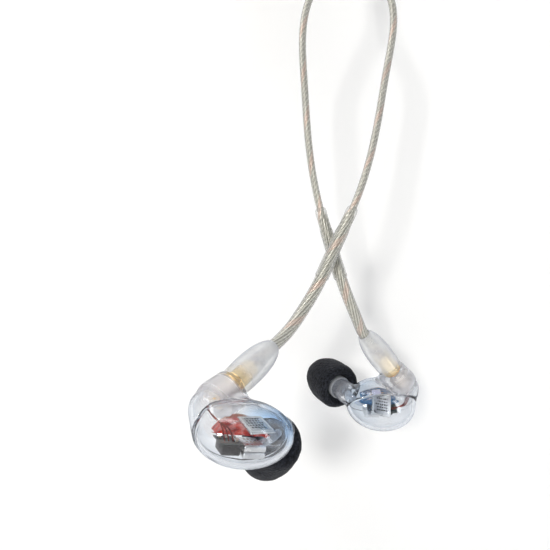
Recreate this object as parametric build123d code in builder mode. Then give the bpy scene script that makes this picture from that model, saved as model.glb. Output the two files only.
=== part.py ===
from build123d import *
import os
from math import cos, sin, pi

# A pair of clear in-ear monitors hanging on their cable, in millimetres.
# +Z is up, +X is to the right and -Y is the front. The two earpieces are mirror twins:
# every earpiece piece is drawn once, in a shell frame, and placed on the right and left ear.

# ---- driving dimensions -------------------------------------------------------------
# Shell: an egg-shaped lobe centred on the shell frame, x along it, z out of the ear.
LOBE = (9.65, 5.98, 7.09)
WALL = 0.9
NECK_R = 3.45
NECK_DEPTH = 7.2
NECK_CAVITY_R = 2.55

# Cable connector: the mating plane lies at CONNECTOR_AT, s is measured along its axis.
CONNECTOR_AT = Vector(-1.5, 7.2, -6.15)
CONNECTOR_AXIS = Vector(0.72, 0.56, -0.42).normalized()
JACK_R = 1.8
JACK_FLANGE_R = 2.25
JACK_FLANGE = 0.9
JACK_LENGTH = 5.0
JACK_BORE_R = 1.30
JACK_BORE_DEPTH = 3.4
JACK_HOLE_R = 0.95
JACK_EDGE = 0.1
CONTACT_R = 0.35
CONTACT_BORE_R = 0.20
CONTACT_TAIL = 0.9
CONTACT_FRONT = 1.6
CONTACT_BORE_END = 2.9
CONTACT_SEAT = 3.0
PLUG_R = 1.25
PLUG_BORE_R = 0.85
PLUG_DEPTH = 2.8
PLUG_GAP = 0.12
PLUG_FLANGE = 1.0
PLUG_TAIL_R = 2.0
PLUG_TAIL_END = 6.0
PIN_R = 0.16
GROOVE_R = 1.00
GROOVE = (-2.36, -1.84)
SNAP_R = (1.04, 1.275)
SNAP = (-2.30, -1.90)
SNAP_SPLIT = (0.8, 0.35)
PLUG_INSULATOR = (0.2, 5.6)
PIN = (-2.7, 6.3)
PIN_TIP = 0.3

# Boot moulded over the connector and the end of the ear wire, as (radius, distance) pairs.
BOOT_LENGTH = 14.0
BOOT_REAR_R = 3.05
BOOT_MAX = (3.25, 5.5)
BOOT_SHOULDER = (2.75, 11.0)
BOOT_END_R = 1.75
BOOT_SEAT = 8.5

# Sound nozzle and foam sleeve: s is measured along the nozzle from the sleeve's rear face.
NOZZLE_AT = Vector(9.5, -1.67, -4.9)
NOZZLE_AXIS = Vector(0.18, -0.66, -0.73).normalized()
NOZZLE_R = 2.5
NOZZLE_BORE_R = 1.7
NOZZLE_LENGTH = 6.5
NOZZLE_ROOT_R = 2.75
NOZZLE_ROOT = 2.6
SHOULDER_R = 2.9
FOAM_R = 6.0
FOAM_LENGTH = 12.5
FOAM_SETBACK = 0.45
FOAM_BORE_R = 3.05
FOAM_MOUTH_R = 2.1
CORE_LENGTH = 7.6
CORE_SETBACK = 0.2
FIT = 0.05
FOAM_HOLLOW_R = 4.3
FOAM_HOLLOW = 1.8
FOAM_RIM_R = 5.2
FOAM_BAND = (1.7, 5.2)
FOAM_NOSE = ((5.0, 2.6), (3.0, 0.15))
WAX_GUARD = 0.3
WAX_GUARD_SETBACK = 0.9
WAX_HOLE_R = 0.2
WAX_RINGS = ((0.6, 6), (1.15, 12))

# What the lobe holds, as blocks between two corners of the shell frame.
DRIVER_BASE = -3.9
CAN_SEAM = -2.7
WOOFER = ((-0.5, DRIVER_BASE, -2.6), (3.8, -1.4, 2.4))
WOOFER_EDGE = 0.35
SPOUT_AT = (-2.2, -1.2)
SPOUT_SIZE = (1.2, 1.8)
SPOUT_LENGTH = 0.6
TWEETER = ((-4.4, -3.7, -2.0), (-0.8, -1.6, 1.8))
BLOCK_EDGE = 0.3
MANIFOLD_CENTRE = (0.0, -3.3)
MANIFOLD_R = 6.0
MANIFOLD_WALL = 0.7
MANIFOLD_Z = (-3.4, -0.4)
MANIFOLD_WEB = 0.45
MANIFOLD_FOOT_Y = -0.4
TUBE_POINTS = [(4.4, -2.2, -1.2), (6.4, -1.3, -1.8)]
TUBE_R = 0.85
TUBE_BORE_R = 0.55
TUBE_END = 1.8
TUBE_CLEARANCE = 0.06
BOARD = ((-5.0, -0.7), (-2.3, 2.1))
BOARD_TOP = -1.3
BOARD_THICKNESS = 0.22
CHIP = (0.9, 0.45, 1.0)
CHIPS_AT = ((-4.2, -1.3), (-2.9, -1.3), (-1.6, -1.3), (-1.6, 0.6))
WIRE_R = 0.11
WIRE_GAP = 0.34
WIRE_BEND = (-5.6, 2.0, 0.9)
WIRE_END = (-4.0, 1.2)
WIRE_END_STEP = 0.8
WIRE_START = 1.3

# Cable: leg jacket, ear wire tube and collar, and what runs inside them.
LEG_R = 0.85
LEG_BORE_R = 0.66
STRAND_R = 0.26
STRAND_OFFSET = 0.30
EAR_WIRE_R = 1.4
EAR_WIRE_BORE_R = 1.05
MEMORY_WIRE_R = 0.26
MEMORY_WIRE_OFFSET = 0.70
COLLAR_SMALL_R = 1.3
COLLAR_LARGE_R = 1.65
COLLAR_TOP_Z = 15.8
COLLAR_STEP_Z = 11.0
COLLAR_END_Z = -0.7
COLLAR_LIP = 1.2
MAIN_R = 1.2
MAIN_BORE_R = 0.85
MAIN_CORE_R = 0.8

# Y-split, slider and the coil of the main cable above them.
SPLIT_X = 17.5
LEG_SPREAD = 1.15
SPLIT_BOTTOM_Z = 99.0
SPLIT_HEIGHT = 11.0
SPLIT_SECTIONS = ((0, 6.0, 3.6, 1.6), (7.0, 5.2, 3.6, 1.6), (SPLIT_HEIGHT, 3.4, 3.4, 1.65))
SPLIT_ROOM = (3.8, 1.6, 0.7)
LEG_SEAT = 3.0
MAIN_SEAT = 7.0
SLIDER_BOTTOM_Z = 86.0
SLIDER_HEIGHT = 6.0
SLIDER_SECTION = (6.2, 3.8, 1.8)
SLIDER_CLEARANCE = 0.08
COIL_R = 16.0
COIL_TURNS = 7.5
COIL_PITCH = 2.8
COIL_Z = 127.0
DROP = 9.0
TAIL = 2.0

# 3.5 mm stereo plug, pointing down from the end of the coil.
JACK_PLUG_R = 1.75
JACK_PLUG_LENGTH = 14.0
SLEEVE_END = 6.4
RING_LENGTH = 2.2
BAND = 0.4
STEM_R = 0.45
RING_BORE_R = 0.7
SLEEVE_BORE_R = 0.95
SLEEVE_STEM_R = 1.2
RELIEF_LENGTH = 8.0
HOUSING_LENGTH = 15.0
HOUSING_R = 3.1
HOUSING_BORE_R = 1.9
HOUSING_NOSE_R = 2.5
HOUSING_TAPER = 1.2
HOUSING_FLOOR = 4.0
RELIEF_R = (2.2, 2.7)
SLEEVE_ROOT = 3.0
PLUG_COLLAR_R = 2.3
PLUG_COLLAR = 0.6
TIP_SHAPE = ((1.75, 1.2), (1.2, 1.8), (1.65, 3.0))
TIP_END_R = 0.3

# Where each earpiece hangs: lobe centre, direction of its length and of its outer face.
HANG = {
    "right": ((-5.6, -24.4, -28.65), (0.88, 0.44, -0.20), (0.44, -0.90, -0.02)),
    "left": ((28.05, 15.0, -34.1), (-0.96, -0.28, 0.07), (-0.12, 0.60, 0.79)),
}
CROSSING_Y = 1.75
# Points that each leg passes below the slider, from the top to the boot.
LEG_POINTS = {
    "right": [(27.3, 0, 63), (26.2, -0.2, 49), (23.6, -0.8, 34.5), (18.8, -1.5, 17.5),
              (13.7, -CROSSING_Y, 6.3), (9.6, -2.2, -2.6), (5.6, -3.6, -9.0), (2.9, -5.7, -12.4)],
    "left": [(7.6, 0, 63), (6.8, 0.2, 45.5), (8.0, 0.8, 30.0), (10.2, 1.5, 17.5),
             (13.4, CROSSING_Y, 6.3), (16.3, 2.6, -2.4), (18.9, 4.6, -8.4), (20.5, 6.6, -11.6)],
}
# Moves the model so that its origin is the middle of the underside of its box.
SHIFT = Vector(-10.70, 1.40, 43.03)

os.makedirs("parts", exist_ok=True)


# ---- helpers ------------------------------------------------------------------------
def turning_plane(at, axis):
    """A plane through an axis: x is the radius and y is the distance along the axis."""
    across = Plane(origin=at, z_dir=axis).x_dir
    return Plane(origin=at, x_dir=across, z_dir=across.cross(axis))


def turned(plane, outline):
    """A solid turned about the y axis of its plane from (radius, distance) corners."""
    with BuildPart() as piece:
        with BuildSketch(plane):
            with BuildLine():
                Polyline(*outline, close=True)
            make_face()
        revolve(axis=Axis(plane.origin, plane.y_dir))
    return piece.part


def ring_outline(inner, outer, start, end):
    return [(inner, start), (outer, start), (outer, end), (inner, end)]


def ellipsoid(half_lengths):
    with BuildPart() as egg:
        Sphere(1)
        scale(by=half_lengths)
    return egg.part


def swept(path, outer, inner=0.0):
    """A round rod, or a tube when an inner radius is given, along a path."""
    with BuildPart() as rod:
        with BuildSketch(Plane(origin=path @ 0, z_dir=path % 0)):
            Circle(outer)
            if inner:
                Circle(inner, mode=Mode.SUBTRACT)
        sweep(path=path)
    return rod.part


def save(piece, node):
    moved = piece.moved(Location(SHIFT))
    moved.label = node
    export_step(moved, f"parts/{node}.step")


def along(at, axis, distance):
    return at + axis * distance


connector = turning_plane(CONNECTOR_AT, CONNECTOR_AXIS)
nozzle = turning_plane(NOZZLE_AT, NOZZLE_AXIS)


def tube_path():
    """Centre line of the sound tube, from the woofer's spout into the nozzle."""
    end = along(NOZZLE_AT, NOZZLE_AXIS, -TUBE_END)
    with BuildLine() as line:
        Spline(*TUBE_POINTS, end, tangents=[(1, 0.2, 0), NOZZLE_AXIS])
    return line.edges()[0]


# ---- shell --------------------------------------------------------------------------
def shell_solid():
    """Outside of the shell: lobe, connector neck and nozzle in one skin."""
    with BuildPart() as skin:
        add(ellipsoid(LOBE))
        add(turned(connector, [(0, -NECK_DEPTH), (NECK_R, -NECK_DEPTH), (NECK_R, -0.5),
                               (NECK_R - 0.5, 0), (0, 0)]))
        with Locations(along(CONNECTOR_AT, CONNECTOR_AXIS, -NECK_DEPTH)):
            Sphere(NECK_R)
        add(turned(nozzle, [(0, -NOZZLE_ROOT), (NOZZLE_ROOT_R, -NOZZLE_ROOT), (SHOULDER_R, -0.3),
                            (NOZZLE_R, 0), (NOZZLE_R, NOZZLE_LENGTH - 0.4),
                            (NOZZLE_R - 0.4, NOZZLE_LENGTH), (0, NOZZLE_LENGTH)]))
        with Locations(along(NOZZLE_AT, NOZZLE_AXIS, -NOZZLE_ROOT)):
            Sphere(NOZZLE_ROOT_R)
    return skin.part


def shell_cavity():
    """Room inside the shell, with the seats of the connector jack and the nozzle bore."""
    with BuildPart() as room:
        add(ellipsoid(tuple(half - WALL for half in LOBE)))
        with Locations(along(CONNECTOR_AT, CONNECTOR_AXIS, -NECK_DEPTH)):
            Sphere(NECK_CAVITY_R)
        add(turned(connector, ring_outline(0, NECK_CAVITY_R, -NECK_DEPTH, -JACK_LENGTH)))
        add(turned(connector, ring_outline(0, JACK_R, -JACK_LENGTH - 0.5, -JACK_FLANGE + 0.01)))
        add(turned(connector, ring_outline(0, JACK_FLANGE_R, -JACK_FLANGE, 0.5)))
        add(turned(nozzle, ring_outline(0, NOZZLE_BORE_R, -NOZZLE_ROOT, NOZZLE_LENGTH + 1)))
        with Locations(along(NOZZLE_AT, NOZZLE_AXIS, -NOZZLE_ROOT)):
            Sphere(NOZZLE_ROOT_R - WALL)
        add(swept(tube_path(), TUBE_R + TUBE_CLEARANCE))
    return room.part


def shell_half(keep):
    """One half of the shell, parted on the seam plane z = 0 of the shell frame."""
    with BuildPart() as half:
        add(shell_solid())
        add(shell_cavity(), mode=Mode.SUBTRACT)
        split(bisect_by=Plane.XY, keep=keep)
    return half.part


# ---- what the shell holds -----------------------------------------------------------
def boxed(low, high, edge=0.0):
    """A block between two corners, with its upright edges rounded."""
    size = [b - a for a, b in zip(low, high)]
    centre = [(a + b) / 2 for a, b in zip(low, high)]
    with BuildPart() as block:
        with Locations(tuple(centre)):
            Box(*size)
        if edge:
            fillet(block.edges().filter_by(Axis.Y), edge)
    return block.part


def woofer_driver():
    """Twin balanced-armature woofer: two cans face to face in one body with its spout."""
    with BuildPart() as driver:
        low, high = WOOFER
        add(boxed(low, (high[0], CAN_SEAM, high[2]), WOOFER_EDGE))
        add(boxed((low[0], CAN_SEAM, low[2]), high, WOOFER_EDGE))
        with BuildSketch(Plane.YZ.offset(high[0])):
            with Locations(SPOUT_AT):
                RectangleRounded(*SPOUT_SIZE, BLOCK_EDGE)
        extrude(amount=SPOUT_LENGTH)
    return driver.part


def tweeter_driver():
    with BuildPart() as driver:
        add(boxed(*TWEETER, BLOCK_EDGE))
    return driver.part


def driver_manifold():
    """Tinted half-round cover over the drivers: an arch with a thin web on its outer side."""
    start, end = MANIFOLD_Z
    with BuildPart() as cover:
        with Locations((*MANIFOLD_CENTRE, start)):
            Cylinder(MANIFOLD_R, end - start, align=(Align.CENTER, Align.CENTER, Align.MIN))
            Cylinder(MANIFOLD_R - MANIFOLD_WALL, end - start - MANIFOLD_WEB, mode=Mode.SUBTRACT,
                     align=(Align.CENTER, Align.CENTER, Align.MIN))
        split(bisect_by=Plane.XZ.offset(-MANIFOLD_FOOT_Y), keep=Keep.BOTTOM)
    return cover.part


def sound_tube():
    """Soft tube from the woofer's spout into the nozzle."""
    return swept(tube_path(), TUBE_R, TUBE_BORE_R)


def crossover_board():
    (left, right), (back, front) = BOARD
    return boxed((left, BOARD_TOP - BOARD_THICKNESS, back), (right, BOARD_TOP, front), BLOCK_EDGE)


def board_components():
    """Capacitors and resistors of the crossover, each a separate solid on the board."""
    wide, tall, deep = CHIP
    with BuildPart() as chips:
        for x, z in CHIPS_AT:
            with Locations((x, BOARD_TOP + tall / 2, z)):
                Box(wide, tall, deep)
    return chips.part


def earpiece_wires():
    """Enamelled wires from the connector jack down to the crossover board."""
    back = along(CONNECTOR_AT, CONNECTOR_AXIS, -JACK_LENGTH - WIRE_START)
    with BuildPart() as wires:
        for step in range(3):
            lean = WIRE_GAP * (step - 1)
            x, y, z = WIRE_BEND
            with BuildLine() as line:
                Spline(back + Vector(0, lean, lean), (x, y, z + lean),
                       (WIRE_END[0] + WIRE_END_STEP * step, BOARD_TOP + WIRE_R, WIRE_END[1]),
                       tangents=[-CONNECTOR_AXIS, (0.3, -1, 0.1)])
            add(swept(line.edges()[0], WIRE_R))
    return wires.part


def jack_body():
    """Gold socket: flange, plain barrel, bore for the plug and seat for its insulator."""
    return turned(connector, [(JACK_HOLE_R, -JACK_LENGTH), (JACK_R, -JACK_LENGTH),
                              (JACK_R, -JACK_FLANGE), (JACK_FLANGE_R, -JACK_FLANGE),
                              (JACK_FLANGE_R, -JACK_EDGE), (JACK_FLANGE_R - JACK_EDGE, 0),
                              (JACK_BORE_R + JACK_EDGE, 0), (JACK_BORE_R, -JACK_EDGE),
                              (JACK_BORE_R, -JACK_BORE_DEPTH), (JACK_HOLE_R, -JACK_BORE_DEPTH)])


def jack_insulator():
    return turned(connector, ring_outline(CONTACT_R, JACK_HOLE_R, -JACK_LENGTH, -CONTACT_SEAT))


def jack_contact():
    back = -JACK_LENGTH - CONTACT_TAIL
    return turned(connector, [(0, back), (CONTACT_R, back),
                              (CONTACT_R, -CONTACT_FRONT), (CONTACT_BORE_R, -CONTACT_FRONT),
                              (CONTACT_BORE_R, -CONTACT_BORE_END), (0, -CONTACT_BORE_END)])


def wax_guard():
    """Perforated disc that closes the nozzle."""
    start = along(NOZZLE_AT, NOZZLE_AXIS, NOZZLE_LENGTH - WAX_GUARD_SETBACK)
    disc = Plane(origin=start, z_dir=NOZZLE_AXIS)
    with BuildPart() as guard:
        with BuildSketch(disc):
            Circle(NOZZLE_BORE_R)
            Circle(WAX_HOLE_R, mode=Mode.SUBTRACT)
            for radius, count in WAX_RINGS:
                with PolarLocations(radius, count):
                    Circle(WAX_HOLE_R, mode=Mode.SUBTRACT)
        extrude(amount=WAX_GUARD)
    return guard.part


# ---- ear sleeve ---------------------------------------------------------------------
def foam_sleeve():
    """Foam ear sleeve: rounded barrel with a hollow rear and a sound mouth in front."""
    rear = FOAM_SETBACK
    front = FOAM_LENGTH + FOAM_SETBACK
    core_end = CORE_LENGTH + FOAM_SETBACK
    band = [rear + distance for distance in FOAM_BAND]
    nose = [(radius, front - distance) for radius, distance in FOAM_NOSE]
    with BuildPart() as foam:
        with BuildSketch(nozzle):
            with BuildLine():
                Polyline((FOAM_MOUTH_R, core_end), (FOAM_BORE_R, core_end),
                         (FOAM_BORE_R, rear + FOAM_HOLLOW), (FOAM_HOLLOW_R, rear),
                         (FOAM_RIM_R, rear))
                Spline((FOAM_RIM_R, rear), (FOAM_R, band[0]), tangents=[(1, 0.15), (0, 1)])
                Line((FOAM_R, band[0]), (FOAM_R, band[1]))
                Spline((FOAM_R, band[1]), *nose, (FOAM_MOUTH_R, front),
                       tangents=[(0, 1), (-1, 0)])
                Line((FOAM_MOUTH_R, front), (FOAM_MOUTH_R, core_end))
            make_face()
        revolve(axis=Axis(nozzle.origin, nozzle.y_dir))
    return foam.part


def sleeve_core():
    """Soft plastic tube bonded into the foam; it slides on the nozzle."""
    return turned(nozzle, ring_outline(NOZZLE_R + FIT, FOAM_BORE_R, FOAM_SETBACK + CORE_SETBACK,
                                       FOAM_SETBACK + CORE_LENGTH))


# ---- cable side of the connector ----------------------------------------------------
def plug_barrel():
    """Gold plug: nose with the snap ring's groove, flange and tail inside the boot."""
    flange = (PLUG_GAP, PLUG_GAP + PLUG_FLANGE)
    return turned(connector, [(PLUG_BORE_R, -PLUG_DEPTH), (PLUG_R - 0.1, -PLUG_DEPTH),
                              (PLUG_R, -PLUG_DEPTH + 0.1), (PLUG_R, GROOVE[0]),
                              (GROOVE_R, GROOVE[0]), (GROOVE_R, GROOVE[1]), (PLUG_R, GROOVE[1]),
                              (PLUG_R, flange[0]), (JACK_FLANGE_R, flange[0]),
                              (JACK_FLANGE_R, flange[1]), (PLUG_TAIL_R, flange[1]),
                              (PLUG_TAIL_R, PLUG_TAIL_END), (PLUG_BORE_R, PLUG_TAIL_END)])


def snap_ring():
    """Split ring that holds the plug in the jack and lets it turn."""
    start, end = SNAP
    with BuildPart() as ring:
        add(turned(connector, ring_outline(SNAP_R[0], SNAP_R[1], start, end)))
        gap = Plane(origin=along(CONNECTOR_AT, CONNECTOR_AXIS, start - 0.2),
                    x_dir=connector.x_dir, z_dir=CONNECTOR_AXIS)
        with BuildSketch(gap):
            with Locations((SNAP_R[1], 0)):
                Rectangle(*SNAP_SPLIT)
        extrude(amount=1.0, mode=Mode.SUBTRACT)
    return ring.part


def plug_insulator():
    return turned(connector, ring_outline(PIN_R, PLUG_BORE_R, *PLUG_INSULATOR))


def plug_pin():
    start, end = PIN
    return turned(connector, [(0, start), (PIN_R / 2, start), (PIN_R, start + PIN_TIP),
                              (PIN_R, end), (0, end)])


def boot():
    """Clear overmoulding round the plug: swells a little, then closes in on the ear wire."""
    start = PLUG_GAP
    step = PLUG_GAP + PLUG_FLANGE
    with BuildPart() as cover:
        with BuildSketch(connector):
            with BuildLine():
                Line((JACK_FLANGE_R, start), (BOOT_REAR_R, start))
                Spline((BOOT_REAR_R, start), BOOT_MAX, BOOT_SHOULDER,
                       (BOOT_END_R, BOOT_LENGTH), tangents=[(0.1, 1), (-1, 0.6)])
                Polyline((BOOT_END_R, BOOT_LENGTH), (EAR_WIRE_R, BOOT_LENGTH),
                         (EAR_WIRE_R, BOOT_SEAT), (PLUG_TAIL_R, BOOT_SEAT), (PLUG_TAIL_R, step),
                         (JACK_FLANGE_R, step), (JACK_FLANGE_R, start))
            make_face()
        revolve(axis=Axis(connector.origin, connector.y_dir))
    return cover.part


# ---- cable --------------------------------------------------------------------------
def frame_of(side):
    """The plane that a side's shell frame sits on."""
    centre, length_way, face_way = HANG[side]
    return Plane(origin=centre, x_dir=length_way, z_dir=face_way)


def hung(piece, side):
    """An earpiece piece, mirrored for the left ear and moved to where it hangs."""
    if side == "left":
        piece = piece.mirror(Plane.XY)
    return piece.moved(frame_of(side).location)


def hung_point(point, side):
    flip = -1 if side == "left" else 1
    return frame_of(side).from_local_coords(Vector(point.X, point.Y, point.Z * flip))


def leg_path(side):
    """Centre line of one leg, from the Y-split down to its seat in the boot."""
    x = SPLIT_X + (LEG_SPREAD if side == "right" else -LEG_SPREAD)
    top = Vector(x, 0, SPLIT_BOTTOM_Z + LEG_SEAT)
    bend = Vector(x, 0, SLIDER_BOTTOM_Z - 1.0)
    ring = hung_point(CONNECTOR_AT, side)
    mouth = hung_point(along(CONNECTOR_AT, CONNECTOR_AXIS, BOOT_LENGTH), side)
    seat = hung_point(along(CONNECTOR_AT, CONNECTOR_AXIS, BOOT_SEAT), side)
    with BuildLine() as line:
        Line(top, bend)
        Spline(bend, *LEG_POINTS[side], mouth, tangents=[(0, 0, -1), ring - mouth])
        Line(mouth, seat)
    return line.wires()[0]


def station(path, height):
    """Share of a path's length at which it comes down to a height."""
    low, high = 0.0, 1.0
    for _ in range(40):
        middle = (low + high) / 2
        if (path @ middle).Z > height:
            low = middle
        else:
            high = middle
    return low


def offset_points(path, start, end, reach, turn, count):
    """Points beside a path, at a distance from it and at an angle round it."""
    points = []
    for index in range(count + 1):
        share = start + (end - start) * index / count
        way = path % share
        across = way.cross(Vector(0, 1, 0)).normalized()
        other = way.cross(across)
        points.append(path @ share + across * (reach * cos(turn)) + other * (reach * sin(turn)))
    return points


def beside(path, start, end, reach, turn, radius, count=16):
    """A thin rod that runs beside a path's centre line, inside its tube."""
    with BuildLine() as line:
        Spline(*offset_points(path, start, end, reach, turn, count))
    return swept(line.edges()[0], radius)


def section(path, start, end):
    return path.trim(start, end)


def collar(path):
    """Stepped sleeve over the joint of the leg and the ear wire."""
    heights = (COLLAR_TOP_Z, COLLAR_STEP_Z + COLLAR_LIP, COLLAR_STEP_Z, COLLAR_END_Z)
    top, lip, step, end = [station(path, z) for z in heights]
    with BuildPart() as sleeve:
        add(swept(section(path, top, lip), COLLAR_SMALL_R, LEG_R))
        add(swept(section(path, lip, step), COLLAR_LARGE_R, LEG_R))
        add(swept(section(path, step, end), COLLAR_LARGE_R, EAR_WIRE_R))
    return sleeve.part


def make_leg(side):
    path = leg_path(side)
    joint = station(path, COLLAR_STEP_Z)
    save(swept(section(path, 0, joint), LEG_R, LEG_BORE_R), f"leg_jacket_{side}")
    save(swept(section(path, joint, 1), EAR_WIRE_R, EAR_WIRE_BORE_R), f"ear_wire_tube_{side}")
    save(collar(path), f"leg_collar_{side}")
    with BuildPart() as strands:
        add(beside(path, 0, 1, STRAND_OFFSET, 0, STRAND_R))
        add(beside(path, 0, 1, STRAND_OFFSET, pi, STRAND_R))
    save(strands.part, f"leg_conductors_{side}")
    save(beside(path, joint + 0.01, 1, MEMORY_WIRE_OFFSET, pi / 2, MEMORY_WIRE_R),
         f"memory_wire_{side}")


# ---- Y-split, slider, coil and plug -------------------------------------------------
def y_split():
    """Moulded split: two legs enter from below and the main cable leaves at the top."""
    with BuildPart() as block:
        for height, wide, deep, corner in SPLIT_SECTIONS:
            with BuildSketch(Plane((SPLIT_X, 0, SPLIT_BOTTOM_Z + height))):
                RectangleRounded(wide, deep, corner)
        loft()
        with BuildSketch(Plane((SPLIT_X, 0, SPLIT_BOTTOM_Z))):
            with Locations((LEG_SPREAD, 0), (-LEG_SPREAD, 0)):
                Circle(LEG_R)
        extrude(amount=LEG_SEAT, mode=Mode.SUBTRACT)
        with BuildSketch(Plane((SPLIT_X, 0, SPLIT_BOTTOM_Z + LEG_SEAT))):
            RectangleRounded(*SPLIT_ROOM)
        extrude(amount=MAIN_SEAT - LEG_SEAT, mode=Mode.SUBTRACT)
        main_start = Plane((SPLIT_X, 0, SPLIT_BOTTOM_Z + MAIN_SEAT), z_dir=coil_path() % 0)
        with BuildSketch(main_start):
            Circle(MAIN_R)
        extrude(amount=SPLIT_HEIGHT, mode=Mode.SUBTRACT)
    return block.part


def slider():
    """Bead that gathers the two legs; it slides up and down on them."""
    hole = LEG_R + SLIDER_CLEARANCE
    with BuildPart() as bead:
        with BuildSketch(Plane((SPLIT_X, 0, SLIDER_BOTTOM_Z))):
            RectangleRounded(*SLIDER_SECTION)
            with Locations((LEG_SPREAD, 0), (-LEG_SPREAD, 0)):
                Circle(hole, mode=Mode.SUBTRACT)
        extrude(amount=SLIDER_HEIGHT)
    return bead.part


def coil_path():
    """Main cable: up from the split, wound backwards round a level axis, then down."""
    start = Vector(SPLIT_X, 0, SPLIT_BOTTOM_Z + MAIN_SEAT)
    centre = Vector(SPLIT_X - COIL_R, 0, COIL_Z)
    helix = Helix(COIL_PITCH, COIL_PITCH * COIL_TURNS, COIL_R, direction=(0, 1, 0), lefthand=True)
    helix = helix.rotate(Axis.Y, 90)
    rise = helix % 0
    run_up = rise * ((COIL_Z - start.Z) / rise.Z)
    helix = helix.moved(Location(centre + Vector(0, run_up.Y, 0)))
    with BuildLine() as line:
        Line(start, helix @ 0)
        add(helix)
        Line(helix @ 1, helix @ 1 + (helix % 1) * (DROP + TAIL))
    return line.wires()[0]


def make_plug(path):
    """Stereo plug, turned about the line on which the cable leaves the coil."""
    way = path % 1
    line = turning_plane(path @ 1 - way * TAIL, way)
    r = JACK_PLUG_R
    body = TAIL + RELIEF_LENGTH
    nose = body + HOUSING_LENGTH
    floor = nose - HOUSING_FLOOR
    root = nose - SLEEVE_ROOT
    collar_end = nose + PLUG_COLLAR
    save(turned(line, [(MAIN_R, 0), (RELIEF_R[0], 0), (RELIEF_R[1], body), (HOUSING_BORE_R, body),
                       (HOUSING_BORE_R, TAIL), (MAIN_R, TAIL)]), "strain_relief")
    save(turned(line, [(HOUSING_BORE_R, body), (HOUSING_R, body), (HOUSING_R, nose - HOUSING_TAPER),
                       (HOUSING_NOSE_R, nose), (SLEEVE_STEM_R, nose), (SLEEVE_STEM_R, floor),
                       (HOUSING_BORE_R, floor)]), "plug_housing")
    save(turned(line, [(SLEEVE_BORE_R, root), (SLEEVE_STEM_R, root), (SLEEVE_STEM_R, nose),
                       (PLUG_COLLAR_R, nose), (PLUG_COLLAR_R, collar_end), (r, collar_end),
                       (r, nose + SLEEVE_END), (SLEEVE_BORE_R, nose + SLEEVE_END)]), "plug_sleeve")
    band = nose + SLEEVE_END
    ring_start = band + BAND
    ring_end = ring_start + RING_LENGTH
    tip_start = ring_end + BAND
    save(turned(line, ring_outline(RING_BORE_R, r, ring_start, ring_end)), "plug_ring")
    save(turned(line, [(STEM_R, root), (SLEEVE_BORE_R, root), (SLEEVE_BORE_R, band),
                       (r, band), (r, ring_start), (RING_BORE_R, ring_start),
                       (RING_BORE_R, ring_end), (r, ring_end), (r, tip_start),
                       (STEM_R, tip_start)]), "plug_insulators")
    shape = [(radius, tip_start + distance) for radius, distance in TIP_SHAPE]
    end = nose + JACK_PLUG_LENGTH
    save(turned(line, [(0, floor), (STEM_R, floor), (STEM_R, tip_start), (r, tip_start), *shape,
                       (TIP_END_R, end), (0, end)]), "plug_tip")


# ---- build everything ---------------------------------------------------------------
EARPIECE = {
    "outer_shell": shell_half(Keep.TOP),
    "inner_shell": shell_half(Keep.BOTTOM),
    "woofer_driver": woofer_driver(),
    "tweeter_driver": tweeter_driver(),
    "driver_manifold": driver_manifold(),
    "sound_tube": sound_tube(),
    "crossover_board": crossover_board(),
    "board_components": board_components(),
    "earpiece_wires": earpiece_wires(),
    "jack_body": jack_body(),
    "jack_insulator": jack_insulator(),
    "jack_contact": jack_contact(),
    "wax_guard": wax_guard(),
    "foam_sleeve": foam_sleeve(),
    "sleeve_core": sleeve_core(),
    "snap_ring": snap_ring(),
    "plug_barrel": plug_barrel(),
    "plug_insulator": plug_insulator(),
    "plug_pin": plug_pin(),
    "boot": boot(),
}

for side in HANG:
    for name, piece in EARPIECE.items():
        save(hung(piece, side), f"{name}_{side}")
    make_leg(side)

save(slider(), "cable_slider")
save(y_split(), "y_split")
main_path = coil_path()
save(swept(main_path, MAIN_R, MAIN_BORE_R), "main_jacket")
save(swept(main_path, MAIN_CORE_R), "main_conductors")
make_plug(main_path)
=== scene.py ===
import math

import bmesh
import bpy
import numpy as np
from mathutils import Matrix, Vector


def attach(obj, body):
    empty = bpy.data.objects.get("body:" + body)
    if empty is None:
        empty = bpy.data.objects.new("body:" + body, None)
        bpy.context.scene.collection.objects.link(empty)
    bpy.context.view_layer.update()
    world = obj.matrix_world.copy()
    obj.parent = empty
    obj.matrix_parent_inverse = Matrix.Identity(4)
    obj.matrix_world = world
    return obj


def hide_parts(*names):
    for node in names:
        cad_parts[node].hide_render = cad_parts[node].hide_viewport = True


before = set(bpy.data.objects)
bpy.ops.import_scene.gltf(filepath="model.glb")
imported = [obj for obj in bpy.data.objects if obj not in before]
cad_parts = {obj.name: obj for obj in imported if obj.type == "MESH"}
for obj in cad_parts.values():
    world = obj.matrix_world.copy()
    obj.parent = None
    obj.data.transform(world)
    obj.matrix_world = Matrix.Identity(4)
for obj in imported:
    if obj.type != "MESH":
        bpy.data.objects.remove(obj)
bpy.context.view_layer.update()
MM = 0.001


def unit(v):
    v = np.array(v, float)
    return v / np.linalg.norm(v)


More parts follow.
